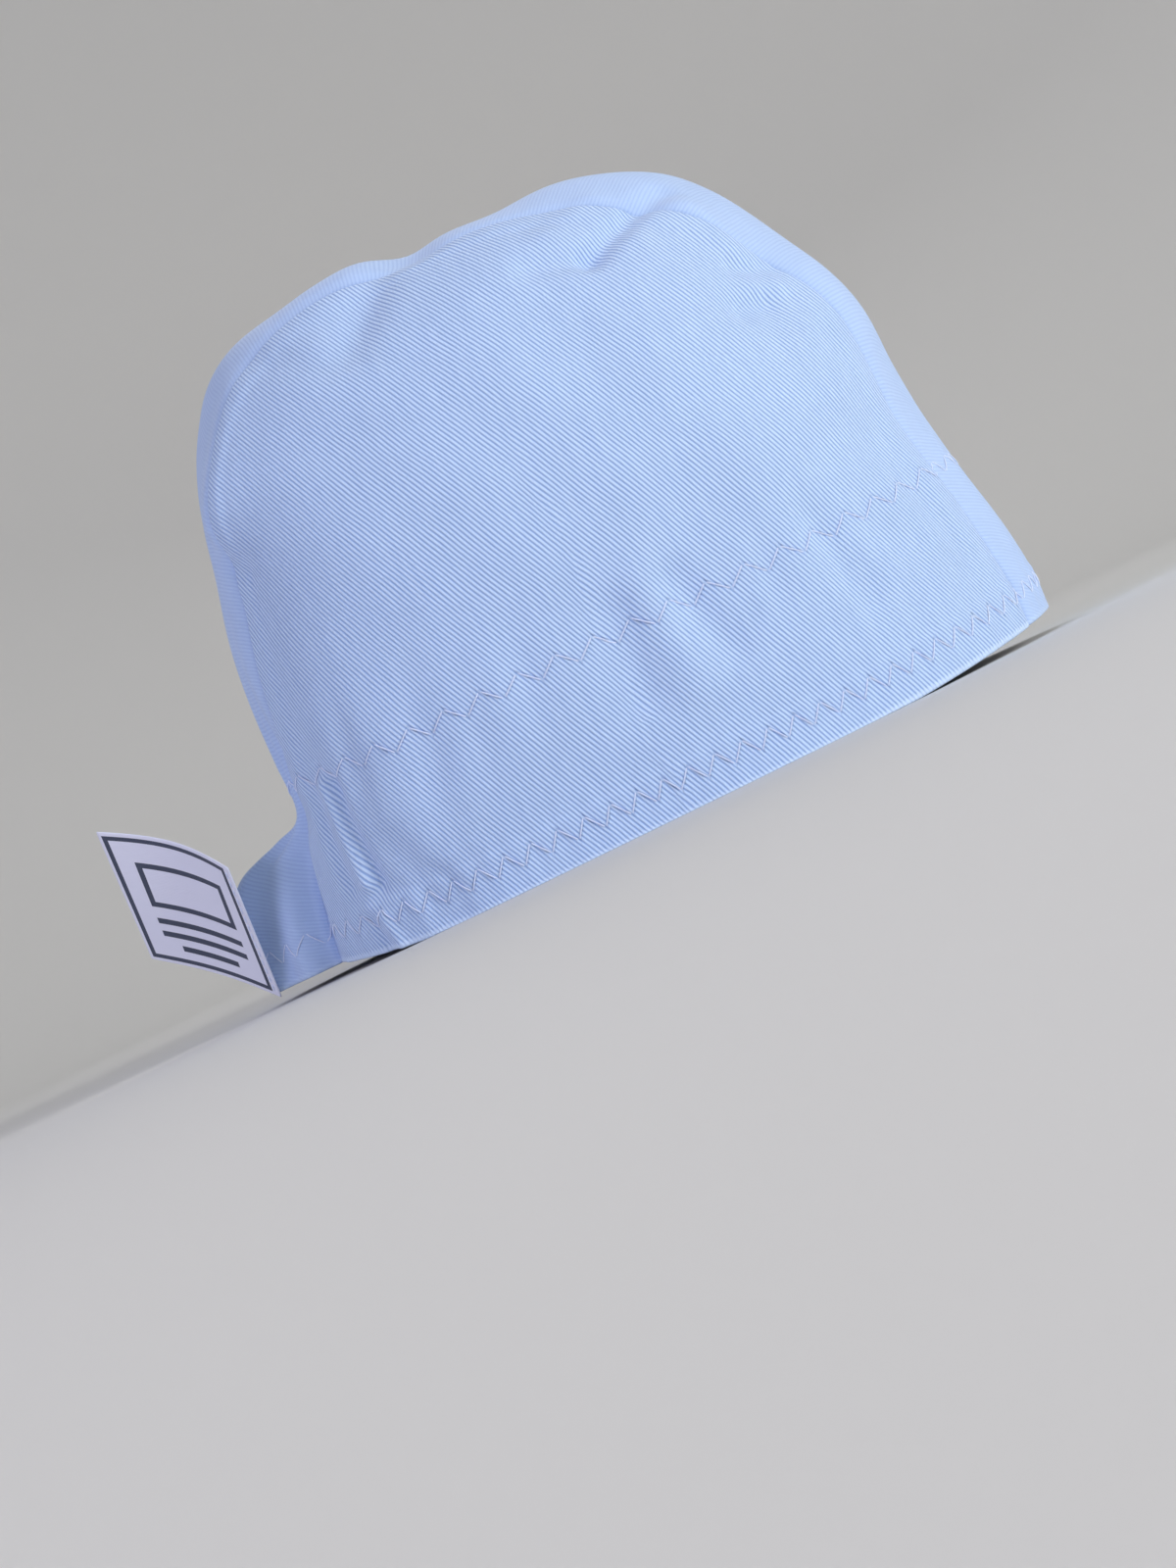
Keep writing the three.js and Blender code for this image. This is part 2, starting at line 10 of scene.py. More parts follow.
import bpy
import numpy as np
from bpy.props import FloatProperty, FloatVectorProperty
from mathutils import Matrix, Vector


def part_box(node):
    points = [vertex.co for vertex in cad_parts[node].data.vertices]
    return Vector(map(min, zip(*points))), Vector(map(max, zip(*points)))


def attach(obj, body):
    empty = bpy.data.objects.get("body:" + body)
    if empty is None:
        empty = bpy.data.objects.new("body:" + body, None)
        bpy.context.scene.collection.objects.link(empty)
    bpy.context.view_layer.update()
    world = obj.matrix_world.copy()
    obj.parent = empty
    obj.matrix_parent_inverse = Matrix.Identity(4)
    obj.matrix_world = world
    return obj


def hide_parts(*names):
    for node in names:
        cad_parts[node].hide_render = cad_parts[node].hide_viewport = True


bl_info = {
    "name": "Welding cap",
    "version": (1, 0, 0),
    "blender": (4, 5, 0),
    "location": "View3D > Sidebar > Cap",
    "description": "Twill panels, crown strip, facing band, zigzag stitching and size label",
    "category": "Object",
}

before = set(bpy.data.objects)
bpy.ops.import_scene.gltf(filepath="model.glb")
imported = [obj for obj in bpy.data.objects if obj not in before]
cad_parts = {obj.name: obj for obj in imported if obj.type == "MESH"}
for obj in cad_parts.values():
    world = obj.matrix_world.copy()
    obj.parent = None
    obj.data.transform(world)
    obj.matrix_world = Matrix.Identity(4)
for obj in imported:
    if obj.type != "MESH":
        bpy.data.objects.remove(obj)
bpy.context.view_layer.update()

# The cap's own sizes in mm, as its solids have them
CAP_LENGTH = 215.0
CAP_WIDTH = 152.0
CAP_HEIGHT = 167.0
SIDE_X = 0.465  # share of CAP_LENGTH where each section is widest
STRIP_WIDTH = 94.0
SEAM_GAP = 0.3
SETTLE = 0.6
FRONT_TURN = 2.6
BACK_TURN = 3.2
TAIL_REACH = 25.0
TAIL_HALF_WIDTH = 25.0
TAIL_SHARPNESS = 4.3
GATHER_DEPTH = 1.7
GATHER_PITCH = 8.6
GATHER_WANDER = 0.9
GATHER_BEAT = 1.7
GATHER_LEAN = 0.35
GATHER_EDGE = (0.95, 1.4)
TUCK_DEPTH = 3.2
TUCK_WIDTH = 4.2
TUCK_PLACE = 1.28
FOLD_DEPTH = 3.0
FOLD_REACH = 14.0
BAND_HEIGHT = 51.0
BAND_SETBACK = 1.4
BAND_CLEAR = 0.4
BAND_CLEAR_EDGE = (1.2, 1.8)
LABEL_WIDTH = 41.0
LABEL_HEIGHT = 40.0
LABEL_CURL = 4.2
LABEL_CURL_LOW = 0.4
LABEL_SEAM = 1.8
LABEL_CLEAR = 2.5
LABEL_UP = (0.12, -0.42, 0.90)
LABEL_ALONG = (-0.70, 0.36, 0.58)

# Sections from the rim up to the middle of the crown: front_x and back_x are shares of
# CAP_LENGTH, half of half CAP_WIDTH, each z of CAP_HEIGHT, tail_out of TAIL_REACH, gather of
# GATHER_DEPTH and tuck of TUCK_DEPTH; the powers square the two ends of the plan.
COLUMNS = (
    "front_x", "front_z", "half", "side_z", "back_x", "back_z", "tail_out", "tail_z",
    "front_power", "back_power", "gather", "tuck",
)
SECTIONS = {
    "rim": (0.990, 0.044, 0.955, 0.000, -0.014, 0.034, 0.72, 0.030, 2.15, 2.7, 1.00, 0.8),
    "hem": (0.991, 0.104, 0.966, 0.062, -0.008, 0.090, 0.84, 0.085, 2.15, 2.8, 0.90, 1.0),
    "ruffle": (0.985, 0.168, 0.980, 0.134, 0.000, 0.148, 0.88, 0.152, 2.15, 2.9, 0.75, 1.0),
    "flare": (0.978, 0.231, 0.992, 0.206, 0.008, 0.203, 0.72, 0.206, 2.15, 2.9, 0.60, 1.0),
    "tail_top": (0.970, 0.288, 1.000, 0.268, 0.021, 0.245, 0.34, 0.236, 2.15, 2.9, 0.55, 1.0),
    "waist": (0.962, 0.344, 1.000, 0.330, 0.025, 0.288, 0.02, 0.254, 2.15, 2.9, 0.75, 0.9),
    "band_top": (0.956, 0.410, 0.998, 0.402, 0.030, 0.350, 0.00, 0.350, 2.15, 2.8, 0.60, 0.6),
    "temple": (0.953, 0.495, 0.990, 0.486, 0.033, 0.445, 0.00, 0.445, 2.15, 2.7, 0.25, 0.3),
    "wall": (0.946, 0.586, 0.972, 0.578, 0.041, 0.555, 0.00, 0.555, 2.15, 2.6, 0.05, 0.1),
    "brow": (0.928, 0.666, 0.935, 0.668, 0.051, 0.652, 0.00, 0.652, 2.15, 2.5, 0.00, 0.0),
    "bend": (0.903, 0.738, 0.880, 0.753, 0.065, 0.740, 0.00, 0.740, 2.15, 2.45, 0.00, 0.0),
    "turn": (0.873, 0.808, 0.810, 0.830, 0.088, 0.820, 0.00, 0.820, 2.15, 2.4, 0.00, 0.0),
    "shoulder": (0.839, 0.872, 0.728, 0.893, 0.115, 0.890, 0.00, 0.893, 2.15, 2.3, 0.00, 0.0),
    "ridge": (0.798, 0.927, 0.638, 0.943, 0.147, 0.950, 0.00, 0.950, 2.15, 2.2, 0.00, 0.0),
    "crown": (0.745, 0.962, 0.530, 0.975, 0.195, 0.985, 0.00, 0.985, 2.1, 2.1, 0.00, 0.0),
    "plateau": (0.671, 0.983, 0.390, 0.992, 0.272, 1.002, 0.00, 1.002, 2.0, 2.0, 0.00, 0.0),
    "top": (0.585, 0.996, 0.210, 1.000, 0.363, 1.004, 0.00, 1.004, 2.0, 2.0, 0.00, 0.0),
    "middle": (0.465, 1.000, 0.000, 1.000, 0.465, 1.000, 0.00, 1.000, 2.0, 2.0, 0.00, 0.0),
}
TABLE = dict(zip(COLUMNS, np.array(list(SECTIONS.values())).T))
TOP = float(len(SECTIONS) - 1)
WALL_LEVEL = 8.5  # up to here the seams run nearly straight up the wall
CROWN_LEVEL = 10.0  # every line beside the strip crosses the crown above this level

# Half width of the crown strip in plan, as a share of half STRIP_WIDTH, at shares of CAP_LENGTH.
STRIP_PLAN = {
    -0.30: 0.63, -0.02: 0.64, 0.03: 0.74, 0.07: 0.89, 0.10: 0.92, 0.15: 0.87, 0.20: 0.86, 0.30: 0.93,
    0.46: 1.00, 0.68: 0.96, 0.88: 0.86, 0.97: 0.70, 1.10: 0.66,
}

# Dents (depth above 0) and swellings: from, to, depth and reach. x is a share of CAP_LENGTH,
# y of half CAP_WIDTH, z of CAP_HEIGHT, depth of FOLD_DEPTH and reach of FOLD_REACH.
FOLDS = {
    "right_crown_crease": ((0.43, -0.54, 0.965), (0.34, -0.78, 0.855), 0.75, 0.45),
    "right_top_dent": ((0.455, -0.56, 0.965), (0.445, -0.10, 1.00), 0.95, 0.60),
    "right_back_swell": ((0.33, -0.52, 0.965), (0.40, -0.50, 0.975), -0.45, 0.80),
    "right_back_bulge": ((0.105, -0.60, 0.73), (0.165, -0.60, 0.90), -1.10, 0.75),
    "right_back_hollow": ((0.085, -0.62, 0.57), (0.070, -0.66, 0.44), 0.55, 0.80),
    "right_front_swell": ((0.76, -0.62, 0.87), (0.70, -0.70, 0.83), -0.60, 1.00),
    "right_front_dent": ((0.84, -0.60, 0.74), (0.80, -0.72, 0.66), 0.45, 0.90),
    "right_brow_swell": ((0.89, -0.58, 0.62), (0.86, -0.66, 0.50), -0.45, 1.00),
    "right_back_pull": ((0.06, -0.72, 0.36), (0.09, -0.80, 0.10), 0.60, 0.40),
    "right_hem_pull": ((0.13, -0.84, 0.15), (0.16, -0.88, 0.02), 0.40, 0.40),
    "left_crown_crease": ((0.50, 0.56, 0.96), (0.41, 0.80, 0.85), 0.65, 0.50),
    "left_top_dent": ((0.25, 0.50, 0.955), (0.27, 0.22, 0.99), 0.85, 1.00),
    "left_back_bulge": ((0.110, 0.60, 0.76), (0.165, 0.58, 0.89), -0.80, 0.80),
    "left_front_swell": ((0.75, 0.62, 0.87), (0.69, 0.70, 0.82), -0.55, 1.00),
    "left_brow_dent": ((0.86, 0.60, 0.70), (0.82, 0.74, 0.60), 0.45, 0.90),
    "left_back_pull": ((0.06, 0.72, 0.38), (0.08, 0.80, 0.12), 0.55, 0.45),
    "crown_sag": ((0.57, 0.35, 1.00), (0.55, -0.50, 0.98), 1.10, 1.90),
}

# Fine creases that only the dressed cloth has, in the same terms.
CREASES = {
    "right_top_crease": ((0.765, -0.50, 0.885), (0.640, -0.765, 0.815), 0.95, 0.26),
    "right_top_ridge": ((0.680, -0.58, 0.915), (0.610, -0.70, 0.875), -0.36, 0.34),
    "right_top_fold": ((0.640, -0.765, 0.815), (0.570, -0.780, 0.829), 0.55, 0.30),
    "right_top_swell": ((0.785, -0.560, 0.830), (0.800, -0.600, 0.750), -0.46, 0.45),
    "right_ring_swell": ((0.839, -0.656, 0.585), (0.826, -0.690, 0.560), -0.34, 0.50),
    "right_ring_upper": ((0.790, -0.67, 0.715), (0.840, -0.59, 0.690), 0.30, 0.20),
    "right_ring_lower": ((0.770, -0.735, 0.642), (0.800, -0.680, 0.640), 0.50, 0.30),
    "right_ring_middle": ((0.800, -0.67, 0.670), (0.825, -0.63, 0.655), -0.36, 0.26),
    "right_shoulder_pull": ((0.200, -0.52, 0.940), (0.300, -0.80, 0.840), 0.30, 0.30),
    "right_back_notch": ((0.080, -0.48, 0.690), (0.108, -0.66, 0.620), 0.55, 0.26),
    "right_pull_upper": ((0.060, -0.66, 0.300), (0.068, -0.68, 0.120), 0.45, 0.18),
    "right_pull_lower": ((0.100, -0.745, 0.270), (0.100, -0.765, 0.105), 0.55, 0.16),
    "right_pull_ridge": ((0.086, -0.700, 0.275), (0.088, -0.728, 0.115), -0.60, 0.15),
    "right_pull_hem": ((0.072, -0.695, 0.060), (0.077, -0.700, 0.010), 0.34, 0.13),
    "right_hem_ridge": ((0.088, -0.733, 0.055), (0.093, -0.738, 0.010), -0.40, 0.13),
    "right_hem_nick": ((0.115, -0.83, 0.090), (0.150, -0.88, 0.040), 0.28, 0.15),
    "right_hem_nick_front": ((0.165, -0.88, 0.085), (0.195, -0.91, 0.030), 0.24, 0.14),
    "right_stitch_furrow_back": ((0.480, -1.00, 0.300), (0.470, -1.00, 0.180), 0.50, 0.42),
    "right_stitch_furrow": ((0.560, -0.99, 0.310), (0.585, -0.98, 0.190), 0.58, 0.36),
    "right_stitch_swell": ((0.520, -0.99, 0.330), (0.530, -0.99, 0.160), -0.46, 0.44),
    "right_front_furrow": ((0.740, -0.88, 0.300), (0.760, -0.86, 0.170), 0.42, 0.44),
    "left_pull_upper": ((0.045, 0.66, 0.335), (0.085, 0.80, 0.215), 0.36, 0.17),
    "left_pull_lower": ((0.060, 0.70, 0.270), (0.115, 0.86, 0.120), 0.40, 0.18),
    "left_pull_ridge": ((0.050, 0.68, 0.300), (0.100, 0.83, 0.165), -0.32, 0.16),
    "left_hem_nick": ((0.135, 0.85, 0.090), (0.165, 0.89, 0.040), 0.26, 0.15),
    "left_stitch_furrow": ((0.540, 0.99, 0.310), (0.560, 0.99, 0.190), 0.34, 0.40),
    "left_shoulder_pull": ((0.220, 0.54, 0.935), (0.330, 0.82, 0.830), 0.30, 0.30),
}

# How the searches and the meshes are stepped
SLOPE_STEP = 0.01
NO_LENGTH = 1e-9
LEAST_SLANT = 0.05
HALVINGS = 40
RING_STEPS = 1440
RING_LEVEL = 2.0  # the level on which distances round the rim are taken
CURVE_SAMPLES = 420
PANEL_GRID = (176, 250)
STRIP_GRID = (330, 137)
BAND_GRID = (56, 420)
LABEL_GRID = (66, 60)
PANEL_PULL = 0.55
STRIP_PULL = 0.4
WEAVE_LEVELS = 108
WEAVE_TURNS = 361
LAST_SHARE = 0.999  # a place at a table's end is read this far into its last cell
EDGE_TURNS = (math.pi / 4, math.pi / 2, 3 * math.pi / 4)
EDGE_SINK = 0.20  # share of a cloth's thickness by which its rim is pressed down
EDGE_SINK_REACH = 3.0  # mm above the rim
FLOOR_CLEAR = 0.05  # mm
PRESSED_LEVEL = 0.3  # below this level the cloth lies pressed on the floor

# Slack, puckers, hem and seam edges of the dressed cloth, in mm
WAVE_COUNT = 26
WAVE_LENGTHS = (24.0, 74.0)
WAVE_SEED = 11
SLACK_ON_BAND = 0.35  # share of the slack that is left where the facing band holds the cloth
SLACK_GROWS = (-8.0, 30.0)  # from and to, about the band's top
PUCKER_STEP = 17.0
PUCKER_STRAY = 0.35
PUCKER_SEED = 5
PUCKER_LEAST = (3.5, 9, 0.25, 0, -0.25)  # width, reach, share of depth, drop and lean
PUCKER_MOST = (7, 20, 1, 9, 0.25)
HEM_RIPPLE_REACH = 0.6  # share of the hem
HEM_EDGE = 1.0  # half the width of the step at the hem's upper edge
ALLOWANCE_EDGE = 2.0  # and of the one at the allowance's edge

# Threads: how far a stitch's ends sink in and its middle rises from there, in thread radii
THREAD_SIDES = 6
THREAD_TWIST = 0.8  # mm for each turn of the plies
STITCH_POWER = 0.35  # power of the sine that a stitch rises by; a low one keeps it level
ZIGZAG_STEPS = 10
ZIGZAG_ARCH = (2.2, 2.9)
LABEL_STITCH_COUNT = 14
LABEL_STITCH_STEPS = 8
LABEL_STITCH_ARCH = (1.6, 2.2)
LABEL_STITCH_ROW = 0.94  # share of the label's edge that the row covers
LABEL_STITCH_SHARE = 0.85  # share of its step that a stitch covers
LABEL_STITCH_INSET = 1.3

# Finishes: fades are the distances in mm at which a mark is whole and at which it ends
STRIP_RELIEF = 0.22  # share of the panels' twill relief that the strip shows
TONE_MIDDLE = 0.8  # tone halfway between the furrows' painted shade and the ridges' own colour
TONE_RANGE = 0.6  # from there to either dye
STITCH_GROOVE = (0.15, 0.85)
# the painted highlight along the hem's lower edge and the painted shade line along the strip's seam
HEM_HIGHLIGHT = (0.2, 1.3)
SEAM_SHADE = (0.3, 1.5)
SATIN_RIB = 0.5  # mm from rib to rib

# The label: its cloth is thinner than its solid, and its foot is looked for on the tail
LABEL_CLOTH = 0.5
LABEL_SOLID = 1.0
TAIL_SEARCH = (-1.1, 61)  # from this share of TAIL_HALF_WIDTH, in so many steps
TAIL_SEARCH_LEVELS = (4.0, 17)  # up to this level, in so many steps

# Printed marks on the label: middle and half size as shares of its width and height, and
# line width in mm. They are a border, an empty box and three ruled lines.
LABEL_PRINT = (
    ((0.516, 0.50), (0.449, 0.462), 1.3),
    ((0.50, 0.62), (0.310, 0.150), 1.6),
    ((0.50, 0.34), (0.310, 0.004), 1.4),
    ((0.50, 0.24), (0.310, 0.004), 1.4),
    ((0.50, 0.14), (0.200, 0.004), 1.4),
)

# The camera, as the photograph's but just above the floor, in metres and mm of film
CAMERA_TARGET = (-0.0031, 0.0, 0.0175)
CAMERA_DISTANCE = 0.622
CAMERA_ELEVATION = math.radians(-0.4)
CAMERA_ROLL = math.radians(26.0)
CAMERA_LENS = 52.0
CAMERA_SENSOR = 36.0
CAMERA_NEAR = 0.01

# Lamps: place and size in metres, power in watts, colour
LAMPS = {
    "key": ((1.15, -0.95, 0.50), 0.6, 15.5, "#ffffff"),
    "fill": ((-0.95, -0.75, 0.40), 0.6, 4.2, "#ded8ff"),
    "rim": ((0.1, 1.1, 1.1), 1.0, 2.8, "#ffffff"),
}
LAMP_TARGET = (0.0, 0.0, 0.08)
WORLD_COLOUR = "#eef1f8"
WORLD_POWER = 0.40

# The floor and its backdrop, in metres
DISH_RINGS = (0.02, 0.5)
DISH_FLAT = 1.1
DISH_BEND = 0.7
DISH_WALL = 0.9
DISH_BEND_STEPS = 24
DISH_TURNS = 96

MM = 0.001

# Kinds of node that the finishes use often
MATH = "ShaderNodeMath"
RANGE = "ShaderNodeMapRange"
NOISE = "ShaderNodeTexNoise"


def smooth_step(low, high, value):
    """0 below low, 1 above high and 3t^2 - 2t^3 between, where t is the share of the way."""
    t = np.clip((value - low) / (high - low), 0, 1)
    return t * t * (3 - 2 * t)


def bump(value, centre, width):
    """A bell: e to the power of minus ((value - centre) / width) squared."""
    return np.exp(-(((value - centre) / width) ** 2))


def section(column, level):
    """A column of SECTIONS at a level, on the Catmull-Rom curve through its four nearest rows."""
    rows = TABLE[column]
    last = len(rows) - 1
    index = np.clip(np.floor(level).astype(int), 0, last - 1)
    t = level - index
    before, start, end, after = (rows[np.clip(index + k, 0, last)] for k in (-1, 0, 1, 2))
    bow = 2 * before - 5 * start + 4 * end - after
    twist = 3 * start - before - 3 * end + after
    return 0.5 * (2 * start + (end - before) * t + bow * t**2 + twist * t**3)


def strip_half_width(x):
    """Half width of the crown strip in plan at x: the Hermite curve through STRIP_PLAN."""
    at, half = np.array(list(STRIP_PLAN.items())).T
    share = np.clip(x / CAP_LENGTH, at[0], at[-1])
    high = np.clip(np.searchsorted(at, share, side="right"), 1, len(at) - 1)
    low = high - 1
    before = np.maximum(np.arange(len(at)) - 1, 0)
    after = np.minimum(np.arange(len(at)) + 1, len(at) - 1)
    slope = (half[after] - half[before]) / (at[after] - at[before])
    span = at[high] - at[low]
    t = (share - at[low]) / span
    bend = (1 - t) ** 2 * t * span * slope[low] - t**2 * (1 - t) * span * slope[high]
    return STRIP_WIDTH / 2 * (half[low] + (half[high] - half[low]) * t * t * (3 - 2 * t) + bend)


def plain_point(angle, level):
    """The cap before pleats and dents: a squared oval at each level, x = end |cos|^(2/power) and
    y = half |sin|^(2/power), with the tail pushed out behind where 1 - tanh(|y|) is large."""
    angle, level = np.broadcast_arrays(np.asarray(angle, float), np.asarray(level, float))
    c, s = np.cos(angle), np.sin(angle)
    front = c >= 0
    power = 2 / np.where(front, section("front_power", level), section("back_power", level))
    end = np.where(front, section("front_x", level) - SIDE_X, SIDE_X - section("back_x", level))
    y = -np.sign(s) * section("half", level) * CAP_WIDTH / 2 * np.abs(s) ** power
    x = (SIDE_X + np.sign(c) * end * np.abs(c) ** power) * CAP_LENGTH
    turn = np.abs(c) ** np.where(front, FRONT_TURN, BACK_TURN)
    end_z = np.where(front, section("front_z", level), section("back_z", level))
    z = section("side_z", level) * (1 - turn) + end_z * turn
    tail = 0.5 * (1 - np.tanh((np.abs(y) / TAIL_HALF_WIDTH - 1) * TAIL_SHARPNESS)) * ~front
    x = x - section("tail_out", level) * TAIL_REACH * tail
    z = z + (section("tail_z", level) - section("back_z", level)) * tail
    pressed = SETTLE * (1 - np.minimum(level, 1))
    return np.stack([x, y, np.maximum(z * CAP_HEIGHT - pressed, 0)], axis=-1)


def unit(vectors, spare=(0.0, 0.0, 1.0)):
    """Vectors over their own length, or spare where they have none."""
    length = np.linalg.norm(vectors, axis=-1, keepdims=True)
    return np.where(length > NO_LENGTH, vectors / np.maximum(length, NO_LENGTH), np.array(spare))


def slope_normal(surface, angle, level):
    """Outward direction of a surface: its slope up crossed with its slope around."""
    around = surface(angle + SLOPE_STEP, level) - surface(angle - SLOPE_STEP, level)
    high = surface(angle, np.minimum(level + SLOPE_STEP, TOP))
    low = surface(angle, np.maximum(level - SLOPE_STEP, 0))
    return unit(np.cross(high - low, around))


def level_normal(surface, angle, level):
    """As slope_normal, but level with the floor at the rim, so that an offset keeps its height.
    The cloth pressed on the floor has no slope of its own and takes the one just above."""
    normal = slope_normal(surface, angle, np.maximum(level, PRESSED_LEVEL))
    normal[..., 2] *= np.minimum(level, 1)
    return unit(normal)


def run_along(points, axis=0):
    """Distance run along rows of points from the first: the sum of the steps between them."""
    steps = np.linalg.norm(np.diff(points, axis=axis), axis=-1)
    return np.insert(np.cumsum(steps, axis=axis), 0, 0.0, axis=axis)


# Distance round the rim from its front, at even angles
RING_ANGLES = np.linspace(0, 2 * math.pi, RING_STEPS + 1)
RING_RUN = run_along(plain_point(RING_ANGLES, RING_LEVEL))
ROUND = float(RING_RUN[-1])


def run_of(angle):
    """Distance round the rim at an angle, from RING_RUN; it goes on growing past a whole turn."""
    turns = np.floor(angle / (2 * math.pi))
    return np.interp(angle - turns * 2 * math.pi, RING_ANGLES, RING_RUN) + turns * ROUND


def angle_of(run):
    """The angle at a distance round the rim, the inverse of run_of."""
    turns = np.floor(run / ROUND)
    return np.interp(run - turns * ROUND, RING_RUN, RING_ANGLES) + turns * 2 * math.pi


def halving(low, high, is_below):
    """The value between low and high where is_below turns false, by halving the range."""
    for _ in range(HALVINGS):
        middle = (low + high) / 2
        below = is_below(middle)
        low, high = np.where(below, middle, low), np.where(below, high, middle)
    return (low + high) / 2


def height_of(angle, level):
    """Height above the rim at the same angle."""
    return plain_point(angle, level)[..., 2] - plain_point(angle, np.zeros_like(level))[..., 2]


def level_of(angle, height):
    """The level that stands a height above the rim."""
    ends = np.zeros_like(angle), np.full_like(angle, TOP)
    return halving(*ends, lambda level: height_of(angle, level) < height)


def gather_rise(y, level):
    """The elastic's small pleats: a cosine across the back that wanders, leans and fades out."""
    within = 1 - smooth_step(*GATHER_EDGE, np.abs(y) / TAIL_HALF_WIDTH)
    stray = GATHER_WANDER * np.sin(GATHER_BEAT * y / GATHER_PITCH)
    wave = np.cos(2 * math.pi * (y + stray) / GATHER_PITCH + GATHER_LEAN * level)
    return section("gather", level) * GATHER_DEPTH * wave * within


def tuck_rise(y, level):
    """The deep pleat beside the tail: a bell across the distance from its middle."""
    across = bump(np.abs(y), TUCK_PLACE * TAIL_HALF_WIDTH, TUCK_WIDTH)
    return -section("tuck", level) * TUCK_DEPTH * across


def fold_rise(points, folds):
    """Dents and swellings: each a bell of the distance to the line between its two ends."""
    size = np.array([CAP_LENGTH, CAP_WIDTH / 2, CAP_HEIGHT])
    rise = np.zeros(points.shape[:-1])
    for start, end, depth, reach in folds.values():
        a, b = np.array(start) * size, np.array(end) * size
        share = np.clip((points - a) @ (b - a) / ((b - a) @ (b - a)), 0, 1)
        off = np.linalg.norm(points - a - share[..., None] * (b - a), axis=-1)
        rise -= depth * FOLD_DEPTH * bump(off, 0, reach * FOLD_REACH)
    return rise


def wave_rise(points):
    """Slack in the cloth: a sum of sines in seeded directions, the long ones deeper."""
    rng = np.random.default_rng(WAVE_SEED)
    way = unit(rng.normal(size=(WAVE_COUNT, 3)))
    length = rng.uniform(*WAVE_LENGTHS, WAVE_COUNT)
    phase = rng.uniform(0, 2 * math.pi, WAVE_COUNT)
    deep = length / WAVE_LENGTHS[1] * math.sqrt(2 / WAVE_COUNT)
    return np.sin(points @ (way * 2 * math.pi / length[:, None]).T + phase) @ deep


def pucker_rise(run, height, stitch_height):
    """Puckers that the wide zigzag draws in: upright bells at seeded places round the cap."""
    rng = np.random.default_rng(PUCKER_SEED)
    count = round(ROUND / PUCKER_STEP)
    rise = np.zeros_like(run)
    for k in range(count):
        place = (k + rng.uniform(-PUCKER_STRAY, PUCKER_STRAY)) * ROUND / count
        width, reach, depth, drop, lean = rng.uniform(PUCKER_LEAST, PUCKER_MOST)
        centre = stitch_height - drop
        off = (run - place + lean * (height - centre) + ROUND / 2) % ROUND - ROUND / 2
        rise -= depth * bump(off, 0, width) * bump(height, centre, reach)
    return rise


def seam_off(points, normal):
    """Distance from the strip's seam along the cloth, above 0 on the side panels: the distance
    in plan over the cosine of the cloth's tilt."""
    slant = np.sqrt(np.maximum(1 - normal[..., 1] ** 2, LEAST_SLANT))
    return (np.abs(points[..., 1]) - strip_half_width(points[..., 0])) / slant


def seam_rise(off):
    """Across a seam: the panel's edge turns in over a folded allowance that stands proud, and
    the strip dips to meet it. Both are bells of the distance from the seam."""
    cloth = bpy.context.scene.cap_cloth
    onto = np.maximum(off, 0)
    ends = cloth.allowance - ALLOWANCE_EDGE, cloth.allowance + ALLOWANCE_EDGE
    proud = cloth.allowance_rise * (1 - smooth_step(*ends, onto))
    turned = cloth.seam_depth * bump(onto, 0, cloth.seam_turn)
    dip = -cloth.seam_dip * bump(np.minimum(off, 0), 0, cloth.seam_dip_reach)
    return np.where(off > 0, proud - turned, dip)


def soft_rise(points, normal, angle, level):
    """What the dressed cloth adds to the solids: slack, puckers, hem, creases and seam edges."""
    cloth = bpy.context.scene.cap_cloth
    stitch = bpy.context.scene.cap_stitches
    height = points[..., 2] - plain_point(angle, np.zeros_like(level))[..., 2]
    run = run_of(angle)
    above = smooth_step(BAND_HEIGHT + SLACK_GROWS[0], BAND_HEIGHT + SLACK_GROWS[1], height)
    free = SLACK_ON_BAND + (1 - SLACK_ON_BAND) * above
    rise = cloth.slack * wave_rise(points) * free + fold_rise(points, CREASES)
    rise += cloth.pucker * pucker_rise(run, height, stitch.wide_height)
    ripple = 0.5 - 0.5 * np.cos(2 * math.pi * run / stitch.narrow_pitch)
    beside = bump(height, stitch.narrow_height, HEM_RIPPLE_REACH * cloth.hem)
    rise -= cloth.hem_ripple * ripple * beside
    rise += cloth.hem_rise * (1 - smooth_step(cloth.hem - HEM_EDGE, cloth.hem + HEM_EDGE, height))
    return rise + seam_rise(seam_off(points, normal))


def cap_point(angle, level, pleats=True, soft=True):
    """The cap's outer surface: the plain oval moved outwards by folds, tuck, pleats and softness."""
    points = plain_point(angle, level)
    normal = level_normal(plain_point, angle, level)
    behind = np.cos(angle) < 0
    rise = fold_rise(points, FOLDS) + behind * tuck_rise(points[..., 1], level)
    if pleats:
        rise = rise + behind * gather_rise(points[..., 1], level)
    if soft:
        rise = rise + soft_rise(points, normal, angle, level)
    return points + normal * rise[..., None]


def smooth_point(angle, level):
    """The outer surface without the small pleats, which the facing band follows."""
    return cap_point(angle, level, pleats=False)


def to_frame(points):
    """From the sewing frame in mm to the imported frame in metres: the front edges meet, and what
    would sink into the floor lies flat on it."""
    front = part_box("crown_strip")[1].x / MM
    moved = (points + np.array([front - TABLE["front_x"].max() * CAP_LENGTH, 0, 0])) * MM
    moved[..., 2] = np.maximum(moved[..., 2], FLOOR_CLEAR * MM)
    return moved


def seam_angle(level, share, gap, front):
    """Angle on the right side, ahead or behind, where |y| is a share of the strip's half width
    widened by gap."""

    def is_inside(angle):
        point = plain_point(angle, level)
        return np.abs(point[..., 1]) < share * (strip_half_width(point[..., 0]) + gap)

    end = 0.0 if front else math.pi
    return halving(np.full_like(level, end), np.full_like(level, math.pi / 2), is_inside)


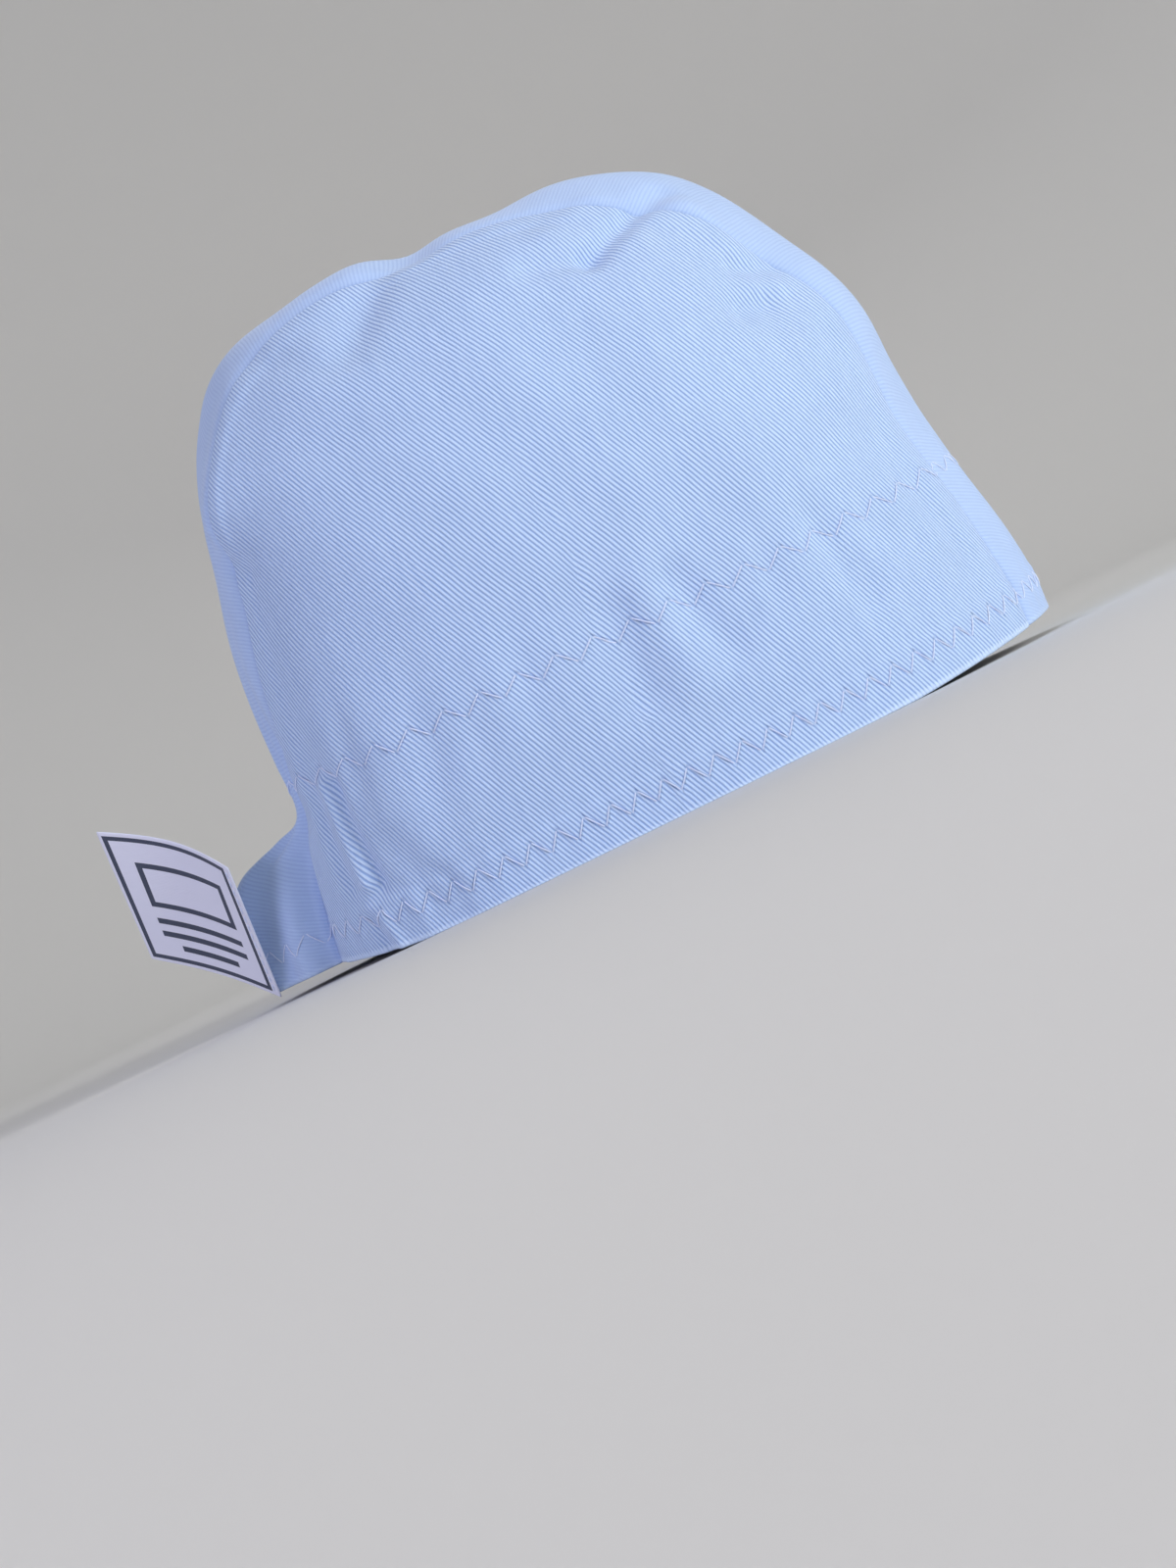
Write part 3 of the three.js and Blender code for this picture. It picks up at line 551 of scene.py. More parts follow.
def highest_level(share, gap):
    """The level where the cap's half width at SIDE_X is that share of the strip's."""
    wide = share * (strip_half_width(np.array(SIDE_X * CAP_LENGTH)) + gap)
    ends = np.full_like(wide, CROWN_LEVEL), np.full_like(wide, TOP)
    return halving(*ends, lambda level: section("half", level) * CAP_WIDTH / 2 > wide)


def over_crown(share, gap, foot, at):
    """Angles and levels along the line beside the strip, from the level foot in front over the
    crown to the same level behind, at the given shares of its length."""
    q = np.linspace(1, 0, CURVE_SAMPLES)
    peak = highest_level(share, gap)
    level = peak - (peak - foot) * q**2
    rising = np.stack([seam_angle(level, share, gap, True), level], axis=-1)
    falling = np.stack([seam_angle(level, share, gap, False), level], axis=-1)[::-1]
    over = np.concatenate([rising, falling])
    run = run_along(plain_point(*over.T))
    return np.stack([np.interp(at * run[-1], run, column) for column in over.T], axis=-1)


def spread(count, pull):
    """Steps from 0 to 1, drawn closer together at both ends by pull: t - pull sin(2 pi t)/2 pi."""
    t = np.linspace(0, 1, count)
    return t - pull * np.sin(2 * math.pi * t) / (2 * math.pi)


def panel_places(rows, columns):
    """Angles and levels of the right side panel's grid: the Coons patch, which blends its four
    edges (rim, front seam, back seam, seam over the crown) less their bilinear corners."""
    gap = SEAM_GAP / 2
    t, s = spread(rows, PANEL_PULL), spread(columns, PANEL_PULL)
    wall = t * WALL_LEVEL
    left = np.stack([seam_angle(wall, 1, gap, True), wall], axis=-1)
    right = np.stack([seam_angle(wall, 1, gap, False), wall], axis=-1)
    rim_run = run_of(left[0, 0]) + (run_of(right[0, 0]) - run_of(left[0, 0])) * s
    low = np.stack([angle_of(rim_run), np.zeros_like(s)], axis=-1)
    high = over_crown(1, gap, WALL_LEVEL, s)
    s, t = s[None, :, None], t[:, None, None]
    blend = (1 - t) * low[None] + t * high[None] + (1 - s) * left[:, None] + s * right[:, None]
    corners = (1 - t) * ((1 - s) * low[0] + s * low[-1]) + t * ((1 - s) * high[0] + s * high[-1])
    places = blend - corners
    return places[..., 0], np.clip(places[..., 1], 0, TOP)


def strip_places(rows, columns):
    """Angles and levels of the crown strip's grid: each column keeps one share of the strip's
    half width and runs over the crown, with its rows at shares of its length."""
    shares = np.linspace(-1, 1, columns)
    at = spread(rows, STRIP_PULL)
    made = [over_crown(share, -SEAM_GAP / 2, 0, at) for share in np.abs(shares)]
    angle, level = np.stack(made, axis=1).transpose(2, 0, 1)
    return np.where(shares > 0, 2 * math.pi - angle, angle), np.clip(level, 0, TOP)


def weave_on_panel(angle, level, side):
    """Cloth coordinates in mm: up is the length of the side's upright line, and across is the
    length of the level ring from that line, to the right as seen from outside."""
    levels = np.linspace(0, TOP, WEAVE_LEVELS)
    middle = math.pi / 2 if side < 0 else 3 * math.pi / 2
    turn = np.linspace(-math.pi / 2, math.pi / 2, WEAVE_TURNS)
    run = run_along(plain_point(middle + turn[None, :], levels[:, None]), axis=1)
    run = run - run[:, len(turn) // 2][:, None]
    up = run_along(plain_point(middle, levels))
    row = np.clip(level / TOP * (len(levels) - 1), 0, len(levels) - 2 + LAST_SHARE)
    column = np.clip((angle - middle - turn[0]) / (turn[1] - turn[0]), 0, len(turn) - 2 + LAST_SHARE)
    i, k = row.astype(int), column.astype(int)
    a, b = row - i, column - k
    near = run[i, k] * (1 - b) + run[i, k + 1] * b
    far = run[i + 1, k] * (1 - b) + run[i + 1, k + 1] * b
    return np.stack([-(near * (1 - a) + far * a), np.interp(level, levels, up)], axis=-1)


def weave_on_strip(points):
    """Cloth coordinates in mm on the strip, which is cut across the grain: along it, and across
    from its middle line."""
    run = run_along(points, axis=1)
    centre = points.shape[1] // 2
    up = run_along(points[:, centre])
    return np.stack([np.broadcast_to(up[:, None], run.shape), run - run[:, centre][:, None]], axis=-1)


def mesh_piece(name, points, faces, uvs, slot, finish):
    """A named object of the cap from arrays: points in the sewing frame, quads, one array of UVs
    for each map, the look's slot, which is not used, and the material."""
    mesh = bpy.data.meshes.new(name)
    mesh.vertices.add(len(points))
    mesh.vertices.foreach_set("co", np.ascontiguousarray(to_frame(points), np.float32).ravel())
    mesh.loops.add(faces.size)
    mesh.loops.foreach_set("vertex_index", faces.ravel().astype(np.int32))
    mesh.polygons.add(len(faces))
    mesh.polygons.foreach_set("loop_start", np.arange(0, faces.size, 4, dtype=np.int32))
    mesh.polygons.foreach_set("use_smooth", np.ones(len(faces), bool))
    mesh.update(calc_edges=True)
    for label, uv in uvs.items():
        layer = mesh.uv_layers.new(name=label)
        layer.data.foreach_set("uv", uv[faces.ravel()].astype(np.float32).ravel())
    mesh.validate()
    mesh.materials.append(finish)
    piece = bpy.data.objects.new(name, mesh)
    bpy.context.scene.collection.objects.link(piece)
    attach(piece, "root")
    return piece


def grid_faces(rows, columns, closed=False):
    """Quads of a grid, each (row, column), next column, next row and column, next row."""
    index = np.arange(rows * columns).reshape(rows, columns)
    if closed:
        index = np.concatenate([index, index[:, :1]], axis=1)
    corners = (index[:-1, :-1], index[:-1, 1:], index[1:, 1:], index[1:, :-1])
    return np.stack([corner.ravel() for corner in corners], axis=-1)


def cloth_shell(outer, inner, inward_rows, uvs):
    """A cloth with two faces and a rounded edge: the edge is half a circle carried round the
    rim of the grid, from the outer face over its middle to the inner face."""
    rows, columns = outer.shape[:2]
    index = np.arange(rows * columns).reshape(rows, columns)
    rim = np.concatenate([index[0, :-1], index[:-1, -1], index[-1, :0:-1], index[:0:-1, 0]])
    sign = -1 if inward_rows else 1
    top, under = outer.reshape(-1, 3)[rim], inner.reshape(-1, 3)[rim]
    along = np.roll(top, -1, axis=0) - np.roll(top, 1, axis=0)
    through = top - under
    half = np.linalg.norm(through, axis=-1, keepdims=True) / 2
    out = unit(through)
    aside = unit(np.cross(unit(along), out)) * sign
    middle = (top + under) / 2
    loops = [middle + half * (out * math.cos(a) + aside * math.sin(a)) for a in EDGE_TURNS]
    points = np.concatenate([outer.reshape(-1, 3), inner.reshape(-1, 3), *loops])
    count, around = rows * columns, len(rim)
    face = grid_faces(rows, columns)
    between = [2 * count + k * around + np.arange(around) for k in range(len(loops))]
    rings = [rim, *between, count + rim]
    sides = [
        np.stack([np.roll(a, -1), a, b, np.roll(b, -1)], axis=-1) for a, b in zip(rings, rings[1:])
    ]
    faces = np.concatenate([face, (face + count)[:, ::-1], *sides])
    if inward_rows:
        faces = faces[:, ::-1]
    spread_uvs = {
        label: np.concatenate([uv.reshape(-1, 2)] * 2 + [uv.reshape(-1, 2)[rim]] * len(loops))
        for label, uv in uvs.items()
    }
    return points, faces, spread_uvs


def cloth_layers(surface, angle, level, depth, thickness):
    """Two faces of a cloth, depth and depth + thickness inside a surface, lowered at the rim by
    a share of the thickness, so that its rounded edge is pressed a little on the floor."""
    normal = level_normal(surface, angle, level)
    base = surface(angle, level)
    base[..., 2] -= EDGE_SINK * thickness * (1 - smooth_step(0, EDGE_SINK_REACH, height_of(angle, level)))
    depth = np.broadcast_to(depth, level.shape)[..., None]
    return base - normal * depth, base - normal * (depth + thickness)


def tubes(paths, normals, radius):
    """Round threads carried along many paths at once: rings of points around each path, whose
    side direction is the path crossed with the surface's normal, closed over at the ends."""
    count, steps = paths.shape[:2]
    ahead = unit(np.gradient(paths, axis=1))
    aside = unit(np.cross(ahead, normals))
    up = np.cross(aside, ahead)
    turn = np.arange(THREAD_SIDES) * 2 * math.pi / THREAD_SIDES
    ring = aside[:, :, None] * np.cos(turn)[:, None] + up[:, :, None] * np.sin(turn)[:, None]
    points = (paths[:, :, None] + radius * ring).reshape(-1, 3)
    face = grid_faces(steps, THREAD_SIDES, closed=True)[:, ::-1]
    cap = np.array([[0, 1, 2, 3], [0, 3, 4, 5]])
    block = np.concatenate([face, cap, cap[:, ::-1] + (steps - 1) * THREAD_SIDES])
    starts = np.arange(count)[:, None, None] * steps * THREAD_SIDES
    faces = (block[None] + starts).reshape(-1, 4)
    run = run_along(paths, axis=1)
    uv = np.stack(np.broadcast_arrays(run[:, :, None], turn / (2 * math.pi)), axis=-1)
    return points, faces, {"thread": uv.reshape(-1, 2)}


def stitch_lift(along, radius, arch):
    """Height of a stitch at shares of its length: a low power of half a sine, in thread radii,
    so that its ends sink into the cloth and its middle lies level on it."""
    sunk, rise = arch
    return radius * (rise * np.sin(math.pi * along) ** STITCH_POWER - sunk)


def colour(code):
    """Linear colour of an sRGB hex code: ((c + 0.055) / 1.055) ^ 2.4, or c / 12.92 when dark."""
    c = np.array([int(code[k:k + 2], 16) for k in (1, 3, 5)]) / 255
    return tuple(np.where(c > 0.04045, ((c + 0.055) / 1.055) ** 2.4, c / 12.92))


def full(rgb):
    """The colour with an alpha of 1, as a shader's colour socket takes it."""
    return (*rgb, 1.0)


def add(tree, kind, inputs=None, **settings):
    """One node with its settings; inputs take a value, a socket, or a node's first output."""
    node = tree.nodes.new(kind)
    for name, value in settings.items():
        setattr(node, name, value)
    for socket, value in (inputs or {}).items():
        if isinstance(value, bpy.types.Node):
            value = value.outputs[0]
        if isinstance(value, bpy.types.NodeSocket):
            tree.links.new(value, node.inputs[socket])
        else:
            node.inputs[socket].default_value = value
    return node


def new_material(name):
    """An empty material and its node tree."""
    material = bpy.data.materials.new(name)
    material.use_nodes = True
    material.node_tree.nodes.clear()
    return material, material.node_tree


def stitch_grooves(tree):
    """Grooves that both zigzags press into the cloth, 1 on a thread's path and 0 beside it. The
    path is a triangle wave of the distance round the rim."""
    place = add(tree, "ShaderNodeUVMap", uv_map="seams")
    at = add(tree, "ShaderNodeSeparateXYZ", {0: place})
    near, far = STITCH_GROOVE
    grooves = []
    for middle, pitch, reach in zigzag_rows().values():
        half = pitch / 2
        fold = add(tree, MATH, {0: at.outputs[0], 1: half}, operation="PINGPONG")
        path = {0: fold, 1: reach / half, 2: middle - reach / 2}
        path = add(tree, MATH, path, operation="MULTIPLY_ADD")
        gap = add(tree, MATH, {0: at.outputs[1], 1: path}, operation="SUBTRACT")
        off = add(tree, MATH, {0: gap}, operation="ABSOLUTE")
        fade = {0: off, 1: near, 2: far, 3: 1.0, 4: 0.0}
        grooves.append(add(tree, RANGE, fade, interpolation_type="SMOOTHSTEP"))
    return add(tree, MATH, dict(enumerate(grooves)), operation="MAXIMUM")


def edge_marks(tree):
    """Two marks along the cloth's edges, each fading from 1 to 0: a painted highlight along the hem's
    lower edge and a painted shade line along the strip's seam."""
    place = add(tree, "ShaderNodeUVMap", uv_map="edges")
    part = add(tree, "ShaderNodeSeparateXYZ", {0: place})
    beside = add(tree, MATH, {0: part.outputs[0]}, operation="ABSOLUTE")
    marks = []
    for off, (near, far) in ((part.outputs[1], HEM_HIGHLIGHT), (beside, SEAM_SHADE)):
        fade = {0: off, 1: near, 2: far, 3: 1.0, 4: 0.0}
        marks.append(add(tree, RANGE, fade, interpolation_type="SMOOTHSTEP"))
    return marks


def cotton_twill(name, ridge, furrow_shade, stitched=True, relief=1.0):
    """Washed cotton twill, piece-dyed: matt steep diagonal ridges of twisted warp yarn, painted shade
    in the furrows between them, and a faint bloom of loose fibre that lightens grazing edges."""
    cloth = bpy.context.scene.cap_cloth
    material, tree = new_material(name)
    place = add(tree, "ShaderNodeUVMap", uv_map="weave")
    # The weave turned so that x runs along the ridges and y across them, with a slow drift.
    turned = {"Vector": place, "Rotation": (0.0, 0.0, cloth.twill_angle)}
    turned = add(tree, "ShaderNodeMapping", turned)
    part = add(tree, "ShaderNodeSeparateXYZ", {0: turned})
    drift = add(tree, NOISE, {"Vector": place, "Scale": 0.035, "Detail": 2.0})
    across = add(tree, MATH, {0: drift, 1: 1.4, 2: part.outputs[1]}, operation="MULTIPLY_ADD")
    around = 2 * math.pi / cloth.twill_pitch
    phase = add(tree, MATH, {0: across, 1: around}, operation="MULTIPLY")
    wave = add(tree, MATH, {0: phase}, operation="SINE")
    ridges = add(tree, RANGE, {0: wave, 1: -0.95, 2: 0.55}, interpolation_type="SMOOTHSTEP")
    # Each ridge is a row of short floats, which step along it by about two yarns.
    step = {0: part.outputs[0], 1: 2 * math.pi / cloth.float_length, 2: phase}
    step = add(tree, MATH, step, operation="MULTIPLY_ADD")
    floats = add(tree, MATH, {0: step}, operation="SINE")
    fuzz = add(tree, NOISE, {"Vector": place, "Scale": 1.9, "Detail": 3.0, "Roughness": 0.65})
    slub = add(tree, "ShaderNodeMapping", {"Vector": place, "Scale": (0.9, 0.07, 1.0)})
    slubs = add(tree, NOISE, {"Vector": slub, "Scale": 1.0, "Detail": 2.0})
    # What each mark adds to the height of the ridges and to the lightness of their colour
    raised = [(floats, 0.12), (fuzz, 0.55)]
    lightened = [(slubs, 0.34), (fuzz, 0.25)]
    if stitched:
        pressed = stitch_grooves(tree)
        # A painted highlight on the hem's lower edge and painted shade along the strip's seam
        hem_highlight, closed = edge_marks(tree)
        raised.append((pressed, -1.6))
        # The colour gets a painted highlight on the hem's edge, and painted shade along the seam and in the
        # stitch grooves
        lightened += [(hem_highlight, 0.9), (closed, -1.1), (pressed, -0.17)]
    height, tone = ridges, ridges
    for mark, amount in raised:
        height = add(tree, MATH, {0: mark, 1: amount, 2: height}, operation="MULTIPLY_ADD")
    for mark, amount in lightened:
        tone = add(tree, MATH, {0: mark, 1: amount, 2: tone}, operation="MULTIPLY_ADD")
    ends = {1: TONE_MIDDLE - TONE_RANGE / relief, 2: TONE_MIDDLE + TONE_RANGE / relief}
    share = add(tree, RANGE, {0: tone, **ends})
    # The ridges' own colour, mixed by the tone towards the painted shade of the furrows
    mixed_colour = add(tree, "ShaderNodeMix", {0: share, 6: full(furrow_shade), 7: full(ridge)}, data_type="RGBA")
    patch = add(tree, NOISE, {"Vector": place, "Scale": 0.05, "Detail": 3.0})
    light = add(tree, RANGE, {0: patch, 3: 0.95, 4: 1.04})
    shade = add(tree, "ShaderNodeHueSaturation", {"Value": light, "Color": mixed_colour.outputs[2]})
    depth = relief * cloth.twill_depth * MM
    bumps = add(tree, "ShaderNodeBump", {"Height": height, "Strength": 1.0, "Distance": depth})
    skin = add(tree, "ShaderNodeBsdfPrincipled", {
        "Base Color": shade, "Roughness": 0.92, "Normal": bumps, "Sheen Weight": 0.25,
        "Sheen Roughness": 0.55, "Specular IOR Level": 0.25,
    })
    add(tree, "ShaderNodeOutputMaterial", {"Surface": skin})
    return material


def sewing_thread(name, base):
    """Spun polyester thread, three plies twisted: a soft low gloss with fine slanting turns."""
    material, tree = new_material(name)
    place = add(tree, "ShaderNodeUVMap", uv_map="thread")
    part = add(tree, "ShaderNodeSeparateXYZ", {0: place})
    turn = add(tree, MATH, {0: part.outputs[1], 1: 2 * math.pi}, operation="MULTIPLY")
    twist = {0: part.outputs[0], 1: 2 * math.pi / THREAD_TWIST, 2: turn}
    twist = add(tree, MATH, twist, operation="MULTIPLY_ADD")
    plies = add(tree, MATH, {0: twist}, operation="SINE")
    bumps = add(tree, "ShaderNodeBump", {"Height": plies, "Strength": 0.6, "Distance": 0.04 * MM})
    skin = add(tree, "ShaderNodeBsdfPrincipled", {
        "Base Color": full(base), "Roughness": 0.6, "Normal": bumps, "Sheen Weight": 0.2,
    })
    add(tree, "ShaderNodeOutputMaterial", {"Surface": skin})
    return material


def printed_satin(name, base, ink):
    """Woven satin ribbon, screen printed: smooth, slightly glossy, with fine level ribs and the
    marks of LABEL_PRINT in dark ink that dulls the gloss."""
    material, tree = new_material(name)
    place = add(tree, "ShaderNodeUVMap", uv_map="label")
    part = add(tree, "ShaderNodeSeparateXYZ", {0: place})
    printed = 0.0
    for middle, half, line in LABEL_PRINT:
        sides = {}
        for axis, size in enumerate((LABEL_WIDTH, LABEL_HEIGHT)):
            off = {0: part.outputs[axis], 1: middle[axis] * size}
            off = add(tree, MATH, off, operation="SUBTRACT")
            off = add(tree, MATH, {0: off}, operation="ABSOLUTE")
            sides[axis] = add(tree, MATH, {0: off, 1: half[axis] * size}, operation="SUBTRACT")
        edge = add(tree, MATH, sides, operation="MAXIMUM")
        edge = add(tree, MATH, {0: edge}, operation="ABSOLUTE")
        mark = add(tree, MATH, {0: edge, 1: line / 2}, operation="LESS_THAN")
        printed = add(tree, MATH, {0: mark, 1: printed}, operation="MAXIMUM")
    ribs = {0: part.outputs[1], 1: 2 * math.pi / SATIN_RIB}
    ribs = add(tree, MATH, ribs, operation="MULTIPLY")
    ribs = add(tree, MATH, {0: ribs}, operation="SINE")
    mixed_colour = add(tree, "ShaderNodeMix", {0: printed, 6: full(base), 7: full(ink)}, data_type="RGBA")
    gloss = add(tree, RANGE, {0: printed, 3: 0.42, 4: 0.7})
    bumps = add(tree, "ShaderNodeBump", {"Height": ribs, "Strength": 0.5, "Distance": 0.03 * MM})
    skin = add(tree, "ShaderNodeBsdfPrincipled", {
        "Base Color": mixed_colour.outputs[2], "Roughness": gloss, "Normal": bumps, "Sheen Weight": 0.1,
    })
    add(tree, "ShaderNodeOutputMaterial", {"Surface": skin})
    return material


def painted_floor(name, paint):
    """Matt wall paint, rolled: an even tone with the fine grain that the roller leaves."""
    material, tree = new_material(name)
    place = add(tree, "ShaderNodeTexCoord")
    grain = {"Vector": place.outputs["Object"], "Scale": 900.0, "Detail": 2.0}
    grain = add(tree, NOISE, grain)
    bumps = add(tree, "ShaderNodeBump", {"Height": grain, "Strength": 0.15, "Distance": 0.05 * MM})
    skin = {"Base Color": full(paint), "Roughness": 0.85, "Normal": bumps}
    skin = add(tree, "ShaderNodeBsdfPrincipled", skin)
    add(tree, "ShaderNodeOutputMaterial", {"Surface": skin})
    return material


class CapCloth(bpy.types.PropertyGroup):
    """Sizes of the cloth, in mm unless a unit is given."""

    thickness: FloatProperty(name="Thickness", description="Panel and strip cloth, mm", default=1.1, min=0.3)
    band_thickness: FloatProperty(
        name="Band thickness", description="Facing cloth, mm", default=1.0, min=0.3
    )
    twill_pitch: FloatProperty(name="Twill pitch", description="Ridge to ridge, mm", default=1.05, min=0.2)
    twill_angle: FloatProperty(
        name="Twill angle", description="Slope of the ridges to the rim",
        default=math.radians(64), subtype="ANGLE",
    )
    twill_depth: FloatProperty(name="Twill depth", description="Ridge to furrow, mm", default=0.16, min=0)
    float_length: FloatProperty(name="Float length", description="One float along a ridge, mm", default=1.5)
    hem: FloatProperty(name="Hem", description="Depth of the folded hem, mm", default=12.0, min=2)
    hem_rise: FloatProperty(name="Hem rise", description="How far the hem stands proud, mm", default=0.3)
    hem_ripple: FloatProperty(name="Hem ripple", description="Dip at each hem stitch, mm", default=0.3)
    seam_depth: FloatProperty(name="Seam depth", description="How far panel edges turn in, mm", default=1.0)
    seam_turn: FloatProperty(name="Seam turn", description="Roundness of the panel edges, mm", default=0.9)
    seam_dip: FloatProperty(name="Seam dip", description="How far the strip dips to a seam, mm", default=0.9)
    seam_dip_reach: FloatProperty(name="Seam dip reach", description="Width of that dip, mm", default=2.2)
    allowance: FloatProperty(name="Allowance", description="Seam allowance under the panel, mm", default=7.0)
    allowance_rise: FloatProperty(name="Allowance rise", description="How far it shows, mm", default=0.5)
    slack: FloatProperty(name="Slack", description="Height of the soft waves, mm", default=1.3)
    pucker: FloatProperty(name="Pucker", description="Depth of the stitched puckers, mm", default=1.3)


class CapStitches(bpy.types.PropertyGroup):
    """The two rows of zigzag, in mm."""

    thread: FloatProperty(name="Thread", description="Thread diameter, mm", default=0.38, min=0.1)
    wide_height: FloatProperty(name="Wide height", description="Wide zigzag above the rim, mm", default=46.5)
    wide_pitch: FloatProperty(name="Wide pitch", description="One wide zigzag, mm", default=10.7, min=1)
    wide_reach: FloatProperty(name="Wide reach", description="Height of the wide zigzag, mm", default=4.4)
    narrow_height: FloatProperty(
        name="Narrow height", description="Hem zigzag above the rim, mm", default=8.0
    )
    narrow_pitch: FloatProperty(name="Narrow pitch", description="One hem zigzag, mm", default=7.2, min=1)
    narrow_reach: FloatProperty(name="Narrow reach", description="Height of the hem zigzag, mm", default=4.8)


def swatch(name, description, code):
    """A colour property with its default as an sRGB hex code."""
    look = {"subtype": "COLOR", "default": colour(code), "min": 0, "max": 1}
    return FloatVectorProperty(name=name, description=description, **look)


class CapColours(bpy.types.PropertyGroup):
    """Colours of the cloth, thread, label and floor."""

    ridge: swatch("Cloth", "Twill ridges", "#cbe1ff")
    # The furrows' colour is painted shade: the twill's grooves are drawn darker than its ridges
    furrow_shade: swatch("Cloth furrow", "Twill furrows", "#8ba8dd")
    facing: swatch("Facing", "Facing band", "#bccbf0")
    thread: swatch("Thread", "Sewing thread", "#d9e5ff")
    label: swatch("Label", "Size label", "#dde0f2")
    ink: swatch("Ink", "Print on the label", "#3c4459")
    floor: swatch("Floor", "Floor and backdrop", "#dddcd8")


def even_pitch(pitch):
    """The pitch nearest to the given one that fits a whole number of times round the cap."""
    return ROUND / round(ROUND / pitch)


def zigzag_rows():
    """Height above the rim, pitch and reach of each row of zigzag, by the name of its piece."""
    stitch = bpy.context.scene.cap_stitches
    return {
        "wide_zigzag": (stitch.wide_height, stitch.wide_pitch, stitch.wide_reach),
        "narrow_zigzag": (stitch.narrow_height, stitch.narrow_pitch, stitch.narrow_reach),
    }


def seam_places(angle, level, strip):
    """Distance round the rim and height above it, in mm, for the stitch marks. On the strip the
    distance runs on below 0 past the front."""
    run = run_of(angle)
    if strip:
        ahead = (np.cos(angle) > 0) & (angle > math.pi)
        run = run - ROUND * ahead
    return np.stack([run, height_of(angle, level)], axis=-1)


def crown_piece(node, angle, level, weave, finish, inward_rows=False, strip=False):
    """One piece of the crown's cloth, with its edges rounded, in place of its CAD node."""
    cloth = bpy.context.scene.cap_cloth
    outer, inner = cloth_layers(cap_point, angle, level, 0.0, cloth.thickness)
    off = seam_off(plain_point(angle, level), level_normal(plain_point, angle, level))
    sewn = seam_places(angle, level, strip)
    edges = np.stack([off, sewn[..., 1]], axis=-1)
    maps = {"weave": weave, "seams": sewn, "edges": edges}
    shell = cloth_shell(outer, inner, inward_rows, maps)
    piece = mesh_piece(f"{node}_cloth", *shell, "cotton_twill", finish)
    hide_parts(node)
    return piece


def panel_finish():
    """The panels' twill, made once."""
    tint = bpy.context.scene.cap_colours
    found = bpy.data.materials.get("washed cotton twill")
    return found or cotton_twill("washed cotton twill", tint.ridge, tint.furrow_shade)


def strip_finish():
    """The same cloth cut across its grain, where the ridges catch less of the light."""
    tint = bpy.context.scene.cap_colours
    name = "washed cotton twill across the grain"
    return cotton_twill(name, tint.ridge, tint.furrow_shade, relief=STRIP_RELIEF)


def thread_finish():
    """The thread of all stitches, made once."""
    found = bpy.data.materials.get("spun polyester thread")
    return found or sewing_thread("spun polyester thread", bpy.context.scene.cap_colours.thread)


class CAP_OT_crown_strip(bpy.types.Operator):
    """Make the centre strip that runs from the front edge over the crown to the flared tail"""

    bl_idname = "cap.crown_strip"
    bl_label = "Crown strip"

    def execute(self, context):
        angle, level = strip_places(*STRIP_GRID)
        weave = weave_on_strip(plain_point(angle, level))
        piece = crown_piece("crown_strip", angle, level, weave, strip_finish(), strip=True)
        return {"FINISHED"}


class CAP_OT_side_panels(bpy.types.Operator):
    """Make the two D-shaped side panels"""

    bl_idname = "cap.side_panels"
    bl_label = "Side panels"

    def execute(self, context):
        right_angle, level = panel_places(*PANEL_GRID)
        for side, node in ((-1, "side_panel_right"), (1, "side_panel_left")):
            angle = right_angle if side < 0 else 2 * math.pi - right_angle
            weave = weave_on_panel(angle, level, side)
            piece = crown_piece(node, angle, level, weave, panel_finish(), inward_rows=side < 0)
        return {"FINISHED"}


class CAP_OT_sweatband(bpy.types.Operator):
    """Make the facing band inside the rim, joined at the back"""

    bl_idname = "cap.sweatband"
    bl_label = "Sweatband"

    def execute(self, context):
        cloth = context.scene.cap_cloth
        tint = context.scene.cap_colours
        joint = SEAM_GAP / ROUND
        around = np.linspace(joint, 1 - joint, BAND_GRID[1])
        angle = np.broadcast_to(angle_of(ROUND / 2 + around * ROUND)[None, :], BAND_GRID)
        foot, top = level_of(angle[0], BAND_SETBACK), level_of(angle[0], BAND_HEIGHT)
        level = foot + (top - foot) * np.linspace(0, 1, BAND_GRID[0])[:, None]
        y = np.abs(plain_point(angle, level)[..., 1]) / TAIL_HALF_WIDTH
        behind = (np.cos(angle) < 0) * (1 - smooth_step(*BAND_CLEAR_EDGE, y))
        room = behind * GATHER_DEPTH * (BAND_CLEAR + section("gather", level))
        depth = cloth.thickness + SEAM_GAP + room
        outer, inner = cloth_layers(smooth_point, angle, level, depth, cloth.band_thickness)
        weave = np.stack([-run_of(angle), height_of(angle, level)], axis=-1)
        finish = cotton_twill("facing twill", tint.facing, tint.furrow_shade, stitched=False)
        shell = cloth_shell(outer, inner, True, {"weave": weave})
        piece = mesh_piece("sweatband_cloth", *shell, "facing_twill", finish)
        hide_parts("sweatband")
        return {"FINISHED"}


class CAP_OT_zigzags(bpy.types.Operator):
    """Sew the wide zigzag along the facing band and the narrow one along the hem"""

    bl_idname = "cap.zigzags"
    bl_label = "Zigzag stitching"

    def execute(self, context):
        radius = context.scene.cap_stitches.thread / 2
        for name, (middle, pitch, reach) in zigzag_rows().items():
            count = 2 * round(ROUND / pitch)
            k = np.arange(count)[:, None]
            t = np.linspace(0, 1, ZIGZAG_STEPS)[None, :]
            angle = angle_of((k + t) * ROUND / count)
            rising = np.where(k % 2 == 0, t, 1 - t)
            level = level_of(angle, middle + reach * (rising - 0.5))
            normal = level_normal(cap_point, angle, level)
            lift = np.broadcast_to(stitch_lift(t, radius, ZIGZAG_ARCH), angle.shape)
            paths = cap_point(angle, level) + normal * lift[..., None]
            mesh_piece(name, *tubes(paths, normal, radius), "cotton_twill", thread_finish())
        return {"FINISHED"}


